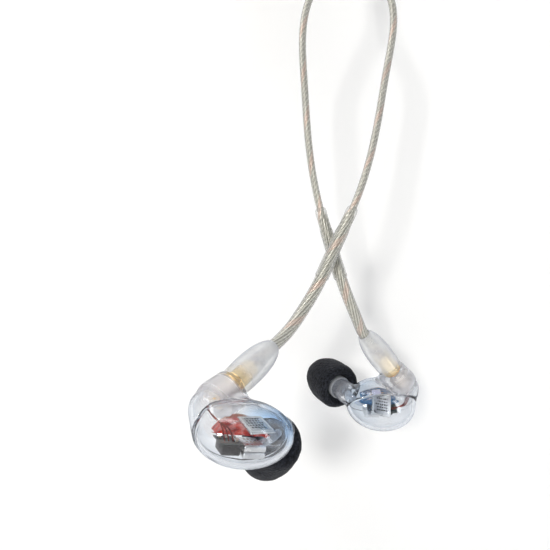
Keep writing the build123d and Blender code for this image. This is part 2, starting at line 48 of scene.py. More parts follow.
# ---- the layout that the frame shares, in millimetres -------------------------------
# The shell frame: x along the lobe, z out of the ear, origin at the lobe's centre.
LOBE = np.array((9.65, 5.98, 7.09))
WALL = 0.9
NECK_R = 3.45
NECK_DEPTH = 7.2
NECK_END = 1.0
ELBOW_DEPTH = 4.8
ELBOW_R = 3.95
CONNECTOR_AT = np.array((-1.5, 7.2, -6.15))
CONNECTOR_AXIS = unit((0.72, 0.56, -0.42))
CONNECTOR = (CONNECTOR_AT, CONNECTOR_AXIS)
NOZZLE_AT = np.array((9.5, -1.67, -4.9))
NOZZLE_AXIS = unit((0.18, -0.66, -0.73))
NOZZLE = (NOZZLE_AT, NOZZLE_AXIS)
NOZZLE_R = 2.5
NOZZLE_BORE_R = 1.7
NOZZLE_LENGTH = 6.5
NOZZLE_DEPTH = 4.0
NOZZLE_ROOT_R = 2.75
NOZZLE_ROOT_START = -2.6
NOZZLE_ROOT_END = -1.2
BOOT_LENGTH = 14.0
BOOT_SEAT = 8.5
FOAM_R = 6.0
FOAM_LENGTH = 12.5
FOAM_REAR = 0.45
CORE_LENGTH = 7.6

# Where each earpiece hangs: lobe centre, direction of its length and of its outer face.
HANG = {
    "right": ((-5.6, -24.4, -28.65), (0.88, 0.44, -0.20), (0.44, -0.90, -0.02)),
    "left": ((28.05, 15.0, -34.1), (-0.96, -0.28, 0.07), (-0.12, 0.60, 0.79)),
}
SHIFT = np.array((-10.70, 1.40, 43.03))
CROSSING_Y = 1.75
LEG_POINTS = {
    "right": [(27.3, 0, 63), (26.2, -0.2, 49), (23.6, -0.8, 34.5), (18.8, -1.5, 17.5),
              (13.7, -CROSSING_Y, 6.3), (9.6, -2.2, -2.6), (5.6, -3.6, -9.0), (2.9, -5.7, -12.4)],
    "left": [(7.6, 0, 63), (6.8, 0.2, 45.5), (8.0, 0.8, 30.0), (10.2, 1.5, 17.5),
             (13.4, CROSSING_Y, 6.3), (16.3, 2.6, -2.4), (18.9, 4.6, -8.4), (20.5, 6.6, -11.6)],
}
LEG_R = 0.85
EAR_WIRE_R = 1.4
COLLAR_TOP_Z = 15.8
COLLAR_STEP_Z = 11.0
COLLAR_END_Z = -0.7
MAIN_R = 1.2
SPLIT_X = 17.5
LEG_SPREAD = 1.15
SPLIT_BOTTOM_Z = 99.0
SLIDER_BOTTOM_Z = 86.0
COIL_R = 16.0
COIL_TURNS = 7.5
COIL_PITCH = 2.8
COIL_Z = 127.0
DROP = 9.0
TAIL = 2.0

# Camera: level, in front of the cable crossing, as far away as the picture's perspective asks.
CAMERA_DISTANCE = 109.5
CAMERA_HALF_WIDTH = 64.1
SENSOR = 36.0


def hung(points, side):
    """Points of the shell frame, in the picture's frame before the shift, in millimetres."""
    centre, length_way, face_way = HANG[side]
    z = unit(face_way)
    x = unit(np.array(length_way) - z * np.dot(length_way, z))
    points = np.array(points, float)
    if side == "left":
        points = points * (1, 1, -1)
    return points @ np.column_stack((x, np.cross(z, x), z)).T + centre


# ---- mesh helpers -------------------------------------------------------------------
def piece(name, mesh, look, body, nodes=(), smooth_angle=35, uv=None, side=None):
    """A visible piece from (points, faces) in millimetres before the shift, riding on a body.

    A side hangs it from the shell frame. Doubled points are merged, unless it has a uv."""
    points, faces = mesh
    if side:
        points = hung(points, side)
    data = bpy.data.meshes.new(name)
    data.from_pydata(((np.array(points) + SHIFT) * MM).tolist(), [], [list(f) for f in faces])
    work = bmesh.new()
    work.from_mesh(data)
    if uv is None:
        bmesh.ops.remove_doubles(work, verts=work.verts, dist=1e-7)
        bmesh.ops.dissolve_degenerate(work, edges=work.edges, dist=1e-7)
    bmesh.ops.recalc_face_normals(work, faces=work.faces)
    work.to_mesh(data)
    work.free()
    data.polygons.foreach_set("use_smooth", [True] * len(data.polygons))
    if smooth_angle:
        data.set_sharp_from_angle(angle=math.radians(smooth_angle))
    if uv is not None:
        layer = data.uv_layers.new(name="strand")
        corner = np.zeros(len(data.loops), np.int64)
        data.loops.foreach_get("vertex_index", corner)
        layer.data.foreach_set("uv", np.array(uv, np.float32)[corner].ravel())
    obj = bpy.data.objects.new(name, data)
    bpy.context.scene.collection.objects.link(obj)
    data.materials.append(look)
    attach(obj, body)
    if nodes:
        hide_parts(*nodes)
    return obj


def unmapped(points):
    """Surface coordinates of zero, for a piece whose points carry marks and must stay apart."""
    return np.zeros((len(points), 2))


def mark(obj, name, values):
    """Stores a number for each point of a piece, for its material to read."""
    layer = obj.data.attributes.new(name, "FLOAT", "POINT")
    layer.data.foreach_set("value", np.array(values, np.float32))


def joined(*meshes):
    """Several (points, faces) in one."""
    points, faces, count = [], [], 0
    for some_points, some_faces in meshes:
        points.append(np.array(some_points, float).reshape(-1, 3))
        faces += [[i + count for i in face] for face in some_faces]
        count += len(some_points)
    return np.vstack(points), faces


def rounded(outline, radius, steps=4):
    """A closed outline with its corners rounded, apart from those on the axis."""
    result = []
    count = len(outline)
    for i in range(count):
        before, here, after = (np.array(outline[(i + k) % count], float) for k in (-1, 0, 1))
        if here[0] < 1e-6:
            result.append(tuple(here))
            continue
        to_before, to_after = before - here, after - here
        reach = min(radius, np.linalg.norm(to_before) * 0.45, np.linalg.norm(to_after) * 0.45)
        start = here + unit(to_before) * reach
        end = here + unit(to_after) * reach
        for step in range(steps + 1):
            t = step / steps
            result.append(tuple((1 - t) ** 2 * start + 2 * t * (1 - t) * here + t * t * end))
    return result


def cross_ways(axis):
    """Two unit vectors across an axis."""
    axis = unit(axis)
    first = unit(np.cross(axis, (0, 0, 1) if abs(axis[2]) < 0.9 else (1, 0, 0)))
    return first, np.cross(axis, first)


def band(rows, segments):
    """The faces between each ring of points and the next, around a closed ring."""
    i, k = np.meshgrid(np.arange(rows), np.arange(segments), indexing="ij")
    n = (k + 1) % segments
    return np.stack((i * segments + k, (i + 1) * segments + k,
                     (i + 1) * segments + n, i * segments + n), -1).reshape(-1, 4)


def caps(rows, segments):
    """The faces that close the first and the last ring of points."""
    return [list(range(segments))[::-1], [(rows - 1) * segments + k for k in range(segments)]]


def turned(outline, at, axis, segments=72):
    """A solid turned from a closed outline of (radius, distance along the axis)."""
    axis = unit(axis)
    side_way, other = cross_ways(axis)
    angle = np.linspace(0, 2 * math.pi, segments, endpoint=False)
    ring = np.outer(np.cos(angle), side_way) + np.outer(np.sin(angle), other)
    points = [np.array(at) + axis * distance + ring * radius for radius, distance in outline]
    faces = band(len(outline), segments) % (len(outline) * segments)
    return np.vstack(points), faces.tolist()


def smooth_line(points, steps=8):
    """A rounded run of points through the given ones."""
    points = [np.array(p, float) for p in points]
    padded = [2 * points[0] - points[1]] + points + [2 * points[-1] - points[-2]]
    result = []
    for a, b, c, d in zip(padded, padded[1:], padded[2:], padded[3:]):
        for step in range(steps):
            t = step / steps
            result.append(0.5 * (2 * b + (c - a) * t + (2 * a - 5 * b + 4 * c - d) * t * t
                                 + (3 * b - a - 3 * c + d) * t ** 3))
    result.append(points[-1])
    return np.array(result)


def block(low, high, bevel):
    """A box with all its edges rounded, as (points, faces)."""
    work = bmesh.new()
    bmesh.ops.create_cube(work, size=1)
    size = np.array(high, float) - np.array(low, float)
    centre = (np.array(high, float) + np.array(low, float)) / 2
    for v in work.verts:
        v.co = Vector(centre + np.array(v.co) * size)
    bmesh.ops.bevel(work, geom=work.edges[:], offset=bevel, segments=3, affect="EDGES", profile=0.5)
    work.verts.index_update()
    points = [tuple(v.co) for v in work.verts]
    faces = [[v.index for v in f.verts] for f in work.faces]
    work.free()
    return points, faces


def run_along(line):
    """The distance along a polyline at each of its points."""
    return np.concatenate(([0], np.cumsum(np.linalg.norm(np.diff(line, axis=0), axis=1))))


def carried(line):
    """Two unit vectors across a polyline at each of its points, without twist."""
    ways = np.gradient(line, axis=0)
    ways /= np.linalg.norm(ways, axis=1)[:, None]
    across = [unit(np.cross(ways[0], (0.13, 0.97, 0.2)))]
    for way in ways[1:]:
        last = across[-1]
        across.append(unit(last - way * np.dot(last, way)))
    across = np.array(across)
    return across, np.cross(ways, across)


def tube(line, radius, segments=24):
    """A rod of a given or changing radius along a polyline, with its surface coordinates."""
    across, other = carried(line)
    radius = np.broadcast_to(radius, len(line))
    angle = np.linspace(0, 2 * math.pi, segments, endpoint=False)
    ring = (across[:, None, :] * np.cos(angle)[None, :, None]
            + other[:, None, :] * np.sin(angle)[None, :, None])
    points = (line[:, None, :] + ring * radius[:, None, None]).reshape(-1, 3)
    faces = band(len(line) - 1, segments).tolist() + caps(len(line), segments)
    round_share = np.tile(np.arange(segments) / segments, len(line))
    return points, faces, np.stack((round_share, np.repeat(run_along(line), segments)), -1)


# ---- shader helpers -----------------------------------------------------------------
SETTINGS = ("operation", "data_type", "attribute_name", "feature", "wave_type", "bands_direction",
            "uv_map")


def feed(socket, value):
    """Gives an input a number, a colour, another node's output or a node's first output."""
    if isinstance(value, bpy.types.Node):
        value = value.outputs[0]
    if isinstance(value, bpy.types.NodeSocket):
        socket.id_data.links.new(value, socket)
    elif socket.type == "RGBA":
        socket.default_value = (*value, 1)
    else:
        socket.default_value = value


def node(tree, kind, *inputs, **values):
    """A shader node, with its first inputs in order and any others by name."""
    made = tree.nodes.new("ShaderNode" + kind)
    for key in SETTINGS:
        if key in values:
            setattr(made, key, values.pop(key))
    for socket, value in zip(made.inputs, inputs):
        feed(socket, value)
    for key, value in values.items():
        feed(made.inputs[key.replace("_", " ")], value)
    return made


def material(name):
    made = bpy.data.materials.new(name)
    made.use_nodes = True
    made.node_tree.nodes.clear()
    return made, made.node_tree


def coordinates(tree):
    """Object coordinates in millimetres."""
    place = node(tree, "TexCoord").outputs["Object"]
    return node(tree, "VectorMath", place, operation="SCALE", Scale=1 / MM)


def surface_place(tree, scale):
    """A piece's own surface coordinates, stretched."""
    uv = node(tree, "UVMap", uv_map="strand")
    return node(tree, "Mapping", uv, Scale=scale)


def noise(tree, vector, scale, detail=3.0, roughness=0.5):
    return node(tree, "TexNoise", Vector=vector, Scale=scale, Detail=detail, Roughness=roughness)


def spread(tree, value, low, high, start=0.3, end=0.7):
    """A value from start..end stretched to low..high."""
    return node(tree, "MapRange", value, start, end, low, high)


def mixed(tree, share, first, second):
    """Two colours mixed by a value."""
    made = node(tree, "Mix", data_type="RGBA")
    for place, value in ((0, share), (6, first), (7, second)):
        feed(made.inputs[place], value)
    return made.outputs[2]


def reckoned(tree, operation, first, second):
    """One number from two."""
    return node(tree, "Math", first, second, operation=operation)


def layered(tree, share, first, second):
    """Two shaders mixed by a value."""
    return node(tree, "MixShader", share, first, second)


def bump(tree, height, strength, distance=0.05):
    return node(tree, "Bump", Height=height, Strength=strength, Distance=distance * MM)


def facing(tree, blend=0.5):
    return node(tree, "LayerWeight", Blend=blend).outputs["Facing"]


def stored(tree, name):
    """A number that mark() stored on the piece."""
    return node(tree, "Attribute", attribute_name=name).outputs["Fac"]


def finished(made, shader):
    """A material, once its last shader is linked to its output."""
    node(made.node_tree, "OutputMaterial", shader)
    return made


# ---- materials ----------------------------------------------------------------------
def metal(name, colour, other, roughness, grain=18.0, strength=0.25):
    """Metal with cloudy tarnish and fine tool marks."""
    made, tree = material(name)
    place = coordinates(tree)
    cloud = noise(tree, place, 0.9, 4)
    marks = noise(tree, place, grain, 2)
    return finished(made, node(
        tree, "BsdfPrincipled", Metallic=1.0,
        Base_Color=mixed(tree, spread(tree, cloud, 0, 1), colour, other),
        Roughness=spread(tree, cloud, roughness * 0.75, roughness * 1.3),
        Normal=bump(tree, marks, strength, 0.02)))


def plastic(name, colour, other, roughness, grain=9.0, strength=0.3, coat=0.0, shine=0.5):
    """Opaque moulded plastic or rubber with a fine grain."""
    made, tree = material(name)
    place = coordinates(tree)
    cloud = noise(tree, place, 1.3, 5)
    fine = noise(tree, place, grain, 3)
    return finished(made, node(
        tree, "BsdfPrincipled", Coat_Weight=coat, Specular_IOR_Level=shine,
        Base_Color=mixed(tree, spread(tree, cloud, 0, 1), colour, other),
        Roughness=spread(tree, fine, roughness * 0.85, roughness * 1.15),
        Normal=bump(tree, fine, strength, 0.04)))


def clear_shell():
    """Polished clear plastic: real refraction for sight, plain clearness for shadows, with painted
    grey-blue shade darkening its outline.
    """
    made, tree = material("clear_shell")
    wave = noise(tree, coordinates(tree), 0.22, 1)
    haze = stored(tree, "haze")
    body = mixed(tree, stored(tree, "tint"), (0.985, 0.99, 0.995), (0.58, 0.77, 0.96))
    # Painted shade: the glass colour turns grey-blue where the skin is seen edge-on, darkening its
    # outline.
    glass = node(tree, "BsdfGlass", IOR=1.46,
                 Color=mixed(tree, facing(tree, 0.22), body, (0.56, 0.61, 0.69)),
                 Roughness=spread(tree, haze, 0.012, 0.36, 0.0, 1.0),
                 Normal=bump(tree, wave, 0.25, 0.3))
    milk = node(tree, "BsdfTranslucent", Color=(0.98, 0.94, 0.92))
    cloudy = layered(tree, spread(tree, haze, 0.003, 0.42, 0.0, 1.0), glass, milk)
    through = node(tree, "BsdfTransparent", Color=(0.84, 0.86, 0.89))
    path = node(tree, "LightPath").outputs
    unseen = reckoned(tree, "MAXIMUM", path["Is Shadow Ray"], path["Is Diffuse Ray"])
    return finished(made, layered(tree, unseen, cloudy, through))


def film(name, colour, outline_shade, clear, dense, roughness=0.12, pattern=2.0, strength=0.15,
         blend=0.45, masked=False, glow=0.0):
    """Translucent plastic: clear where it is looked through, denser towards its edges, with a painted
    shade colour darkening its outline. Any glow is painted light.
    """
    made, tree = material(name)
    cloud = noise(tree, coordinates(tree), pattern, 3)
    edge = facing(tree, blend)
    # Painted shade: seen edge-on, the colour turns to the second, darker colour. The emission is
    # painted light, not a lamp.
    tone = mixed(tree, edge, colour, outline_shade)
    solid = node(tree, "BsdfPrincipled", Roughness=roughness, IOR=1.48, Base_Color=tone,
                 Emission_Color=tone, Emission_Strength=glow,
                 Normal=bump(tree, cloud, strength, 0.06))
    through = node(tree, "BsdfTransparent", Color=(0.99, 0.99, 0.985))
    density = reckoned(tree, "ADD", spread(tree, edge, clear, dense, 0.0, 1.0),
                       spread(tree, cloud, -0.05, 0.05))
    if masked:
        density = reckoned(tree, "MULTIPLY", density, stored(tree, "haze"))
    return finished(made, layered(tree, density, through, solid))


def carrier_film(name, dark, colour, pale):
    """Cast tinted resin with streaks along its arc, and a painted whitish sheen in cloudy patches."""
    made, tree = material(name)
    streak = noise(tree, surface_place(tree, (0.22, 4.2, 1.0)), 1.0, 3, 0.6)
    cloud = noise(tree, coordinates(tree), 0.5, 3)
    rich = mixed(tree, spread(tree, streak, 0, 1, 0.38, 0.62), dark, colour)
    # Painted sheen: the pale colour is laid on in cloudy patches as a whitish highlight.
    pale_sheen_tone = mixed(tree, spread(tree, cloud, 0.0, 0.85, 0.52, 0.72), rich, pale)
    solid = node(tree, "BsdfPrincipled", Roughness=0.16, Coat_Weight=0.4, Base_Color=pale_sheen_tone,
                 Normal=bump(tree, streak, 0.35, 0.08))
    through = node(tree, "BsdfTransparent", Color=(0.95, 0.92, 0.92))
    density = reckoned(tree, "ADD", spread(tree, facing(tree, 0.45), 0.84, 1.0, 0.0, 1.0),
                       spread(tree, streak, -0.16, 0.10))
    return finished(made, layered(tree, density, through, solid))


def strand_metal(name, colour, dark):
    """A bundle of fine drawn wires: metal with a close diagonal twist, whose dark bands are painted
    shade between the wires.
    """
    made, tree = material(name)
    twist = node(tree, "TexWave", surface_place(tree, (1.257, 0.34, 1.0)), wave_type="BANDS",
                 bands_direction="DIAGONAL", Scale=1.0, Distortion=0.8, Detail=2.0).outputs["Fac"]
    cloud = noise(tree, coordinates(tree), 1.1, 4)
    # Painted shade: the twist's dark bands stand for the shade in the grooves between the fine wires.
    tone = mixed(tree, twist, dark, colour)
    return finished(made, node(
        tree, "BsdfPrincipled", Metallic=0.75, Roughness=0.38,
        Base_Color=mixed(tree, spread(tree, cloud, 0.0, 0.35), tone, dark),
        Normal=bump(tree, twist, 0.35, 0.04)))


def foam_material():
    """Slow-recovery foam: black with fine open pores and painted highlights flecked on them, greyer in
    random patches where its skin is rubbed, with a painted sheen lighter towards its outline.
    """
    made, tree = material("foam")
    place = coordinates(tree)
    pores = node(tree, "TexVoronoi", feature="F1", Vector=place, Scale=1.9).outputs["Distance"]
    fine = noise(tree, place, 1.9, 4, 0.7)
    cloud = noise(tree, place, 0.6, 3)
    # Painted highlights: fine grey-blue flecks stand for light caught on the pores.
    tone = mixed(tree, spread(tree, fine, 0, 1, 0.42, 0.60),
                 (0.001, 0.001, 0.002), (0.030, 0.033, 0.042))
    rubbed = mixed(tree, spread(tree, cloud, 0.0, 0.25), tone, (0.016, 0.017, 0.021))
    # Painted sheen: the colour turns lighter where the foam is seen edge-on.
    return finished(made, node(
        tree, "BsdfPrincipled", Roughness=0.72, Specular_IOR_Level=0.14,
        Sheen_Weight=0.03, Sheen_Roughness=0.4,
        Base_Color=mixed(tree, facing(tree, 0.35), rubbed, (0.022, 0.024, 0.030)),
        Normal=bump(tree, reckoned(tree, "ADD", pores, fine), 1.0, 0.20)))


GOLD = metal("gold", (1.0, 0.70, 0.30), (0.93, 0.60, 0.22), 0.17)
PALE_GOLD = metal("pale_gold", (1.0, 0.82, 0.50), (0.95, 0.74, 0.42), 0.22)
PALE_METAL = metal("pale_plating", (0.93, 0.88, 0.80), (0.86, 0.80, 0.74), 0.35)
STEEL = metal("driver_steel", (0.78, 0.78, 0.77), (0.62, 0.62, 0.63), 0.30, 26.0, 0.4)
SPRING = metal("spring_steel", (0.70, 0.70, 0.72), (0.60, 0.60, 0.62), 0.22)
MESH_STEEL = metal("mesh_steel", (0.55, 0.55, 0.56), (0.42, 0.42, 0.43), 0.35)
COPPER = metal("enamelled_wire", (0.84, 0.66, 0.52), (0.50, 0.33, 0.24), 0.3)
ENAMEL = metal("dark_enamel", (0.34, 0.08, 0.05), (0.16, 0.04, 0.04), 0.3)
HOUSING = metal("housing_metal", (0.16, 0.16, 0.17), (0.10, 0.10, 0.11), 0.34, 30.0, 0.5)
BLACK_CAN = plastic("driver_black", (0.006, 0.005, 0.007), (0.020, 0.012, 0.014), 0.30, 12.0,
                    coat=0.1, shine=0.15)
BOARD = plastic("board", (0.020, 0.034, 0.030), (0.035, 0.050, 0.042), 0.4, 14.0, coat=0.5)
CHIP = plastic("chips", (0.40, 0.30, 0.20), (0.62, 0.56, 0.48), 0.45)
WHITE = plastic("white_insulator", (0.88, 0.88, 0.85), (0.80, 0.80, 0.77), 0.4)
BLACK_BAND = plastic("black_insulator", (0.015, 0.015, 0.015), (0.03, 0.03, 0.03), 0.4)
RUBBER = plastic("black_rubber", (0.018, 0.018, 0.020), (0.03, 0.03, 0.032), 0.55, 7.0, 0.5)
LABEL = plastic("label", (0.90, 0.88, 0.93), (0.72, 0.66, 0.84), 0.35)
TINT_WIRE = plastic("dark_wire", (0.10, 0.11, 0.22), (0.16, 0.16, 0.30), 0.35)
STRAND_SHADE = plastic("strand_shade", (0.10, 0.10, 0.085), (0.18, 0.17, 0.14), 0.5)
SHELL = clear_shell()
# The second colour of each film is painted shade at its outline; the boot's glow is painted light,
# standing in for light shining through the milky rubber.
BOOT = film("milky_boot", (0.93, 0.93, 0.92), (0.16, 0.19, 0.25), clear=0.24, dense=0.97,
            roughness=0.2, pattern=0.45, strength=0.45, blend=0.42, masked=True, glow=0.17)
SPLIT = film("milky_split", (0.80, 0.81, 0.80), (0.36, 0.39, 0.45), clear=0.2, dense=0.92,
             roughness=0.2, pattern=0.45, strength=0.35, blend=0.35)
JACKET = film("clear_cable", (0.80, 0.80, 0.76), (0.13, 0.135, 0.13), clear=0.05, dense=0.88,
              pattern=1.2, strength=0.12, blend=0.32)
CLEAR_TUBE = film("clear_tube", (0.88, 0.91, 0.94), (0.62, 0.70, 0.80), clear=0.22, dense=0.85,
                  roughness=0.1)
CORE = film("sleeve_core", (0.55, 0.57, 0.60), (0.25, 0.26, 0.28), clear=0.45, dense=0.95,
            roughness=0.2)
TINTS = {
    "right": carrier_film("tint_right", (0.34, 0.008, 0.008), (0.90, 0.07, 0.03), (0.92, 0.55, 0.50)),
    "left": carrier_film("tint_left", (0.02, 0.07, 0.18), (0.10, 0.30, 0.55), (0.55, 0.66, 0.78)),
}
SILVER_STRAND = strand_metal("silver_strand", (0.92, 0.90, 0.82), (0.34, 0.33, 0.28))
COPPER_STRAND = strand_metal("copper_strand", (0.93, 0.80, 0.71), (0.50, 0.38, 0.31))
FOAM = foam_material()


# ---- shell: a smooth skin from a distance field --------------------------------------
NECK_BLEND = 2.6
ROOT_BLEND = 1.1
EDGE_BLEND = 0.5
NECK_FACE = 0.02

# The walls round the jack and the nozzle, and the room cut into them.
JACK_WALL_R = 3.9
JACK_WALL_DEPTH = 5.1
NOZZLE_WALL_R = 3.3
NOZZLE_WALL_DEPTH = 1.2
SEAT_R = 1.83
SEAT_DEPTH = 5.8
FLANGE_SEAT_R = 2.28
FLANGE_SEAT_DEPTH = 0.93
BORE_BLEND = 0.4

PARTING_GAP = 0.02
PARTING_BLEND = 0.16
LIP_BLEND = 0.12
SHELL_LOW = (-14.5, -9.5, -15.0)
SHELL_HIGH = (15.0, 13.5, 8.5)
SHELL_STEP = 0.26

# The bluer skin near the nozzle's root.
TINT_AT = (6.0, 2.4, -1.0)
TINT_REACH = (5.0, 4.0, 6.5)
TINT_STRENGTH = {"right": 1.0, "left": 0.25}


def blend_min(a, b, reach):
    h = np.clip(0.5 + 0.5 * (b - a) / reach, 0, 1)
    return b * (1 - h) + a * h - reach * h * (1 - h)


def blend_max(a, b, reach):
    return -blend_min(-a, -b, reach)


def axis_parts(p, at, axis):
    """Distance along an axis and away from it."""
    offset = p - at
    along = offset @ axis
    return along, np.linalg.norm(offset - along[:, None] * axis, axis=1)


def capsule(along, away, start, end, r_start, r_end):
    share = np.clip((along - start) / (end - start), 0, 1)
    centre = start + share * (end - start)
    return np.hypot(along - centre, away) - (r_start + share * (r_end - r_start))


def outside(p):
    """Signed distance to the shell's outer skin: lobe, connector neck and nozzle."""
    scaled = np.linalg.norm(p / LOBE, axis=1)
    slope = np.linalg.norm(p / LOBE ** 2, axis=1)
    lobe = scaled * (scaled - 1) / np.maximum(slope, 1e-6)
    s, r = axis_parts(p, *CONNECTOR)
    elbow = np.minimum(capsule(s, r, -ELBOW_DEPTH, -NECK_END, ELBOW_R, NECK_R),
                       capsule(s, r, -NECK_DEPTH, -ELBOW_DEPTH, NECK_R, ELBOW_R))
    neck = blend_max(elbow, s + NECK_FACE, EDGE_BLEND)
    n, q = axis_parts(p, *NOZZLE)
    root = capsule(n, q, NOZZLE_ROOT_START, NOZZLE_ROOT_END, NOZZLE_ROOT_R, NOZZLE_ROOT_R)
    middle = (NOZZLE_LENGTH - NOZZLE_DEPTH) / 2
    half_length = (NOZZLE_LENGTH + NOZZLE_DEPTH) / 2
    stem = blend_max(q - NOZZLE_R, np.abs(n - middle) - half_length, EDGE_BLEND)
    skin = blend_min(lobe, neck, NECK_BLEND)
    skin = blend_min(skin, root, ROOT_BLEND)
    return blend_min(skin, stem, EDGE_BLEND)


def cavity(p):
    """Signed distance to the room inside, with the jack's seat and the nozzle's bore."""
    s, r = axis_parts(p, *CONNECTOR)
    n, q = axis_parts(p, *NOZZLE)
    jack_wall = np.maximum(r - JACK_WALL_R, -s - JACK_WALL_DEPTH)
    nozzle_wall = np.maximum(q - NOZZLE_WALL_R, -n - NOZZLE_WALL_DEPTH)
    room = blend_max(outside(p) + WALL, -jack_wall, EDGE_BLEND)
    room = blend_max(room, -nozzle_wall, EDGE_BLEND)
    seat = np.maximum(r - SEAT_R, -s - SEAT_DEPTH)
    flange_seat = np.maximum(r - FLANGE_SEAT_R, -s - FLANGE_SEAT_DEPTH)
    bore = np.maximum(q - NOZZLE_BORE_R, -n - NOZZLE_DEPTH)
    return blend_min(np.minimum(np.minimum(room, seat), flange_seat), bore, BORE_BLEND)


def shell_half(p, direction):
    wall = blend_max(outside(p), -cavity(p), LIP_BLEND)
    return blend_max(wall, PARTING_GAP - direction * p[:, 2], PARTING_BLEND)


def skinned(field, low, high, step):
    """The zero surface of a distance field, as (points, faces), one point to a cell."""
    axes = [np.arange(a, b, step) for a, b in zip(low, high)]
    grid = np.stack(np.meshgrid(*axes, indexing="ij"), -1)
    value = field(grid.reshape(-1, 3)).reshape(grid.shape[:3])
    inside = value < 0
    shape = [n - 1 for n in inside.shape]

    # the cells that the surface crosses: some corners inside, some outside
    corners = [(a, b, c) for a in (0, 1) for b in (0, 1) for c in (0, 1)]
    total = sum(inside[a:a + shape[0], b:b + shape[1], c:c + shape[2]].astype(np.int8)
                for a, b, c in corners)
    active = np.argwhere((total > 0) & (total < len(corners)))
    number = np.full(shape, -1, np.int64)
    number[tuple(active.T)] = np.arange(len(active))

    # each cell's point is the middle of its edges' crossings
    ways = np.eye(3, dtype=int)
    place = np.zeros((len(active), 3))
    hits = np.zeros(len(active))
    for start in corners:
        for way in ways:
            if np.dot(start, way):
                continue
            va = value[tuple((active + start).T)]
            vb = value[tuple((active + start + way).T)]
            crosses = (va < 0) != (vb < 0)
            t = np.where(crosses, va / np.where(crosses, va - vb, 1), 0)
            place += (start + np.outer(t, way)) * crosses[:, None]
            hits += crosses
    points = np.array(low) + (active + place / hits[:, None]) * step

    # each crossed grid edge gives one face between the four cells round it
    faces = []
    for axis in range(3):
        u, v = (axis + 1) % 3, (axis + 2) % 3
        first = np.take(inside, range(inside.shape[axis] - 1), axis)
        second = np.take(inside, range(1, inside.shape[axis]), axis)
        spots = np.argwhere(first != second)
        spots = spots[(spots[:, u] > 0) & (spots[:, v] > 0)
                      & (spots[:, u] < shape[u]) & (spots[:, v] < shape[v])]
        faces.append(np.stack([number[tuple((spots + du * ways[u] + dv * ways[v]).T)]
                               for du, dv in ((-1, -1), (0, -1), (0, 0), (-1, 0))], -1))

    # slide the points down the field's slope onto the surface
    nudge = step * 0.1
    longest = step * 0.4
    for _ in range(3):
        here = field(points)
        slope = np.stack([(field(points + way * nudge) - here) / nudge for way in ways], -1)
        move = here[:, None] * slope / np.maximum((slope ** 2).sum(1), 0.2)[:, None]
        size = np.linalg.norm(move, axis=1)[:, None]
        points = points - move * np.minimum(1, longest / np.maximum(size, 1e-9))
    return points, np.vstack(faces).tolist()


def ramp(value, start, end):
    """From 0 at the start to 1 at the end, and level beyond both."""
    return np.clip((value - start) / (end - start), 0, 1)


def add_marks(obj, local, side):
    """Marks the bluer skin near the nozzle's root and the cloudier skin of the neck."""
    reach = np.linalg.norm((local - TINT_AT) / TINT_REACH, axis=1)
    mark(obj, "tint", TINT_STRENGTH[side] * np.clip(1.25 - reach, 0, 1))
    s, r = axis_parts(local, *CONNECTOR)
    neck = ramp(s, -9.0, -4.0) * ramp(r, 6.5, 4.5)
    n, q = axis_parts(local, *NOZZLE)
    root = 0.4 * ramp(n, -4.5, -2.5) * ramp(q, 4.0, 3.0)
    mark(obj, "haze", np.maximum(root, neck * np.maximum(0.25, ramp(-s, 0.6, 2.1))))


def make_shells():
    for half, direction in (("outer_shell", 1), ("inner_shell", -1)):
        low, high = list(SHELL_LOW), list(SHELL_HIGH)
        if direction > 0:
            low[2] = -2 * SHELL_STEP
        else:
            high[2] = 2 * SHELL_STEP
        points, faces = skinned(lambda p: shell_half(p, direction), low, high, SHELL_STEP)
        for side in HANG:
            obj = piece(f"{half}_{side}_skin", (points, faces), SHELL, f"earpiece_{side}",
                        [f"{half}_{side}"], None, unmapped(points), side)
            add_marks(obj, points, side)


# ---- what the shell holds, in the shell frame -------------------------------------------
# Lowest and highest corners of the drivers and their board.
WOOFER = ((-0.5, -3.9, -2.6), (3.8, -1.5, 2.4))
TWEETER = ((-4.4, -3.7, -2.0), (-0.8, -1.6, 1.8))
BOARD_BOX = ((-5.0, -1.52, -2.3), (-0.7, -1.3, 2.1))
SEAM = 0.02
CHIP_PLACES = ((-4.2, -1.3), (-2.9, -1.3), (-1.6, -1.3), (-1.6, 0.6))

# The driver's lid, a square plate that leans over the carrier.
LID_AT = np.array((1.3, 2.1, 1.4))
LID_LEAN = -74.0
LID_TWIST = 10.0
LID_HALF = 2.6
LID_TOP = 0.1
LID_EDGE = 0.2
DASH_ROWS = 5
DASH_PITCH = 0.7
DASH_START = -1.6
DASH_END = 1.3

ARCH_CENTRE = (0.0, -3.3)
ARCH_R = 6.0
ARCH_FOOT_Y = -0.4
ARCH_THICK = 0.7
ARCH_BACK_Z = -3.4
ARCH_FRONT_Z = -0.4
TRACE_PITCH = 0.42

SOUND_TUBE = [(4.4, -2.2, -1.2), (5.6, -1.8, -1.4), (7.2, -1.0, -1.9), (8.5, -0.3, -2.6)]
SOUND_TUBE_R = 0.85
SOUND_TUBE_END = 1.2

# The gold socket: bore, wall and rolled rim.
SOCKET_R = 1.8
SOCKET_BORE_R = 1.30
CONTACT_BORE_R = 0.95
CONTACT_DEPTH = 3.4
SOCKET_DEPTH = 5.0
RIM_R = 2.25
RIM_DEPTH = 0.88


def fitted(name, side, mesh, look, nodes=(), angle=35):
    """A piece inside an earpiece, from a mesh in the shell frame."""
    piece(f"{name}_{side}_detail", mesh, look, f"earpiece_{side}",
          [f"{n}_{side}" for n in nodes], angle, side=side)


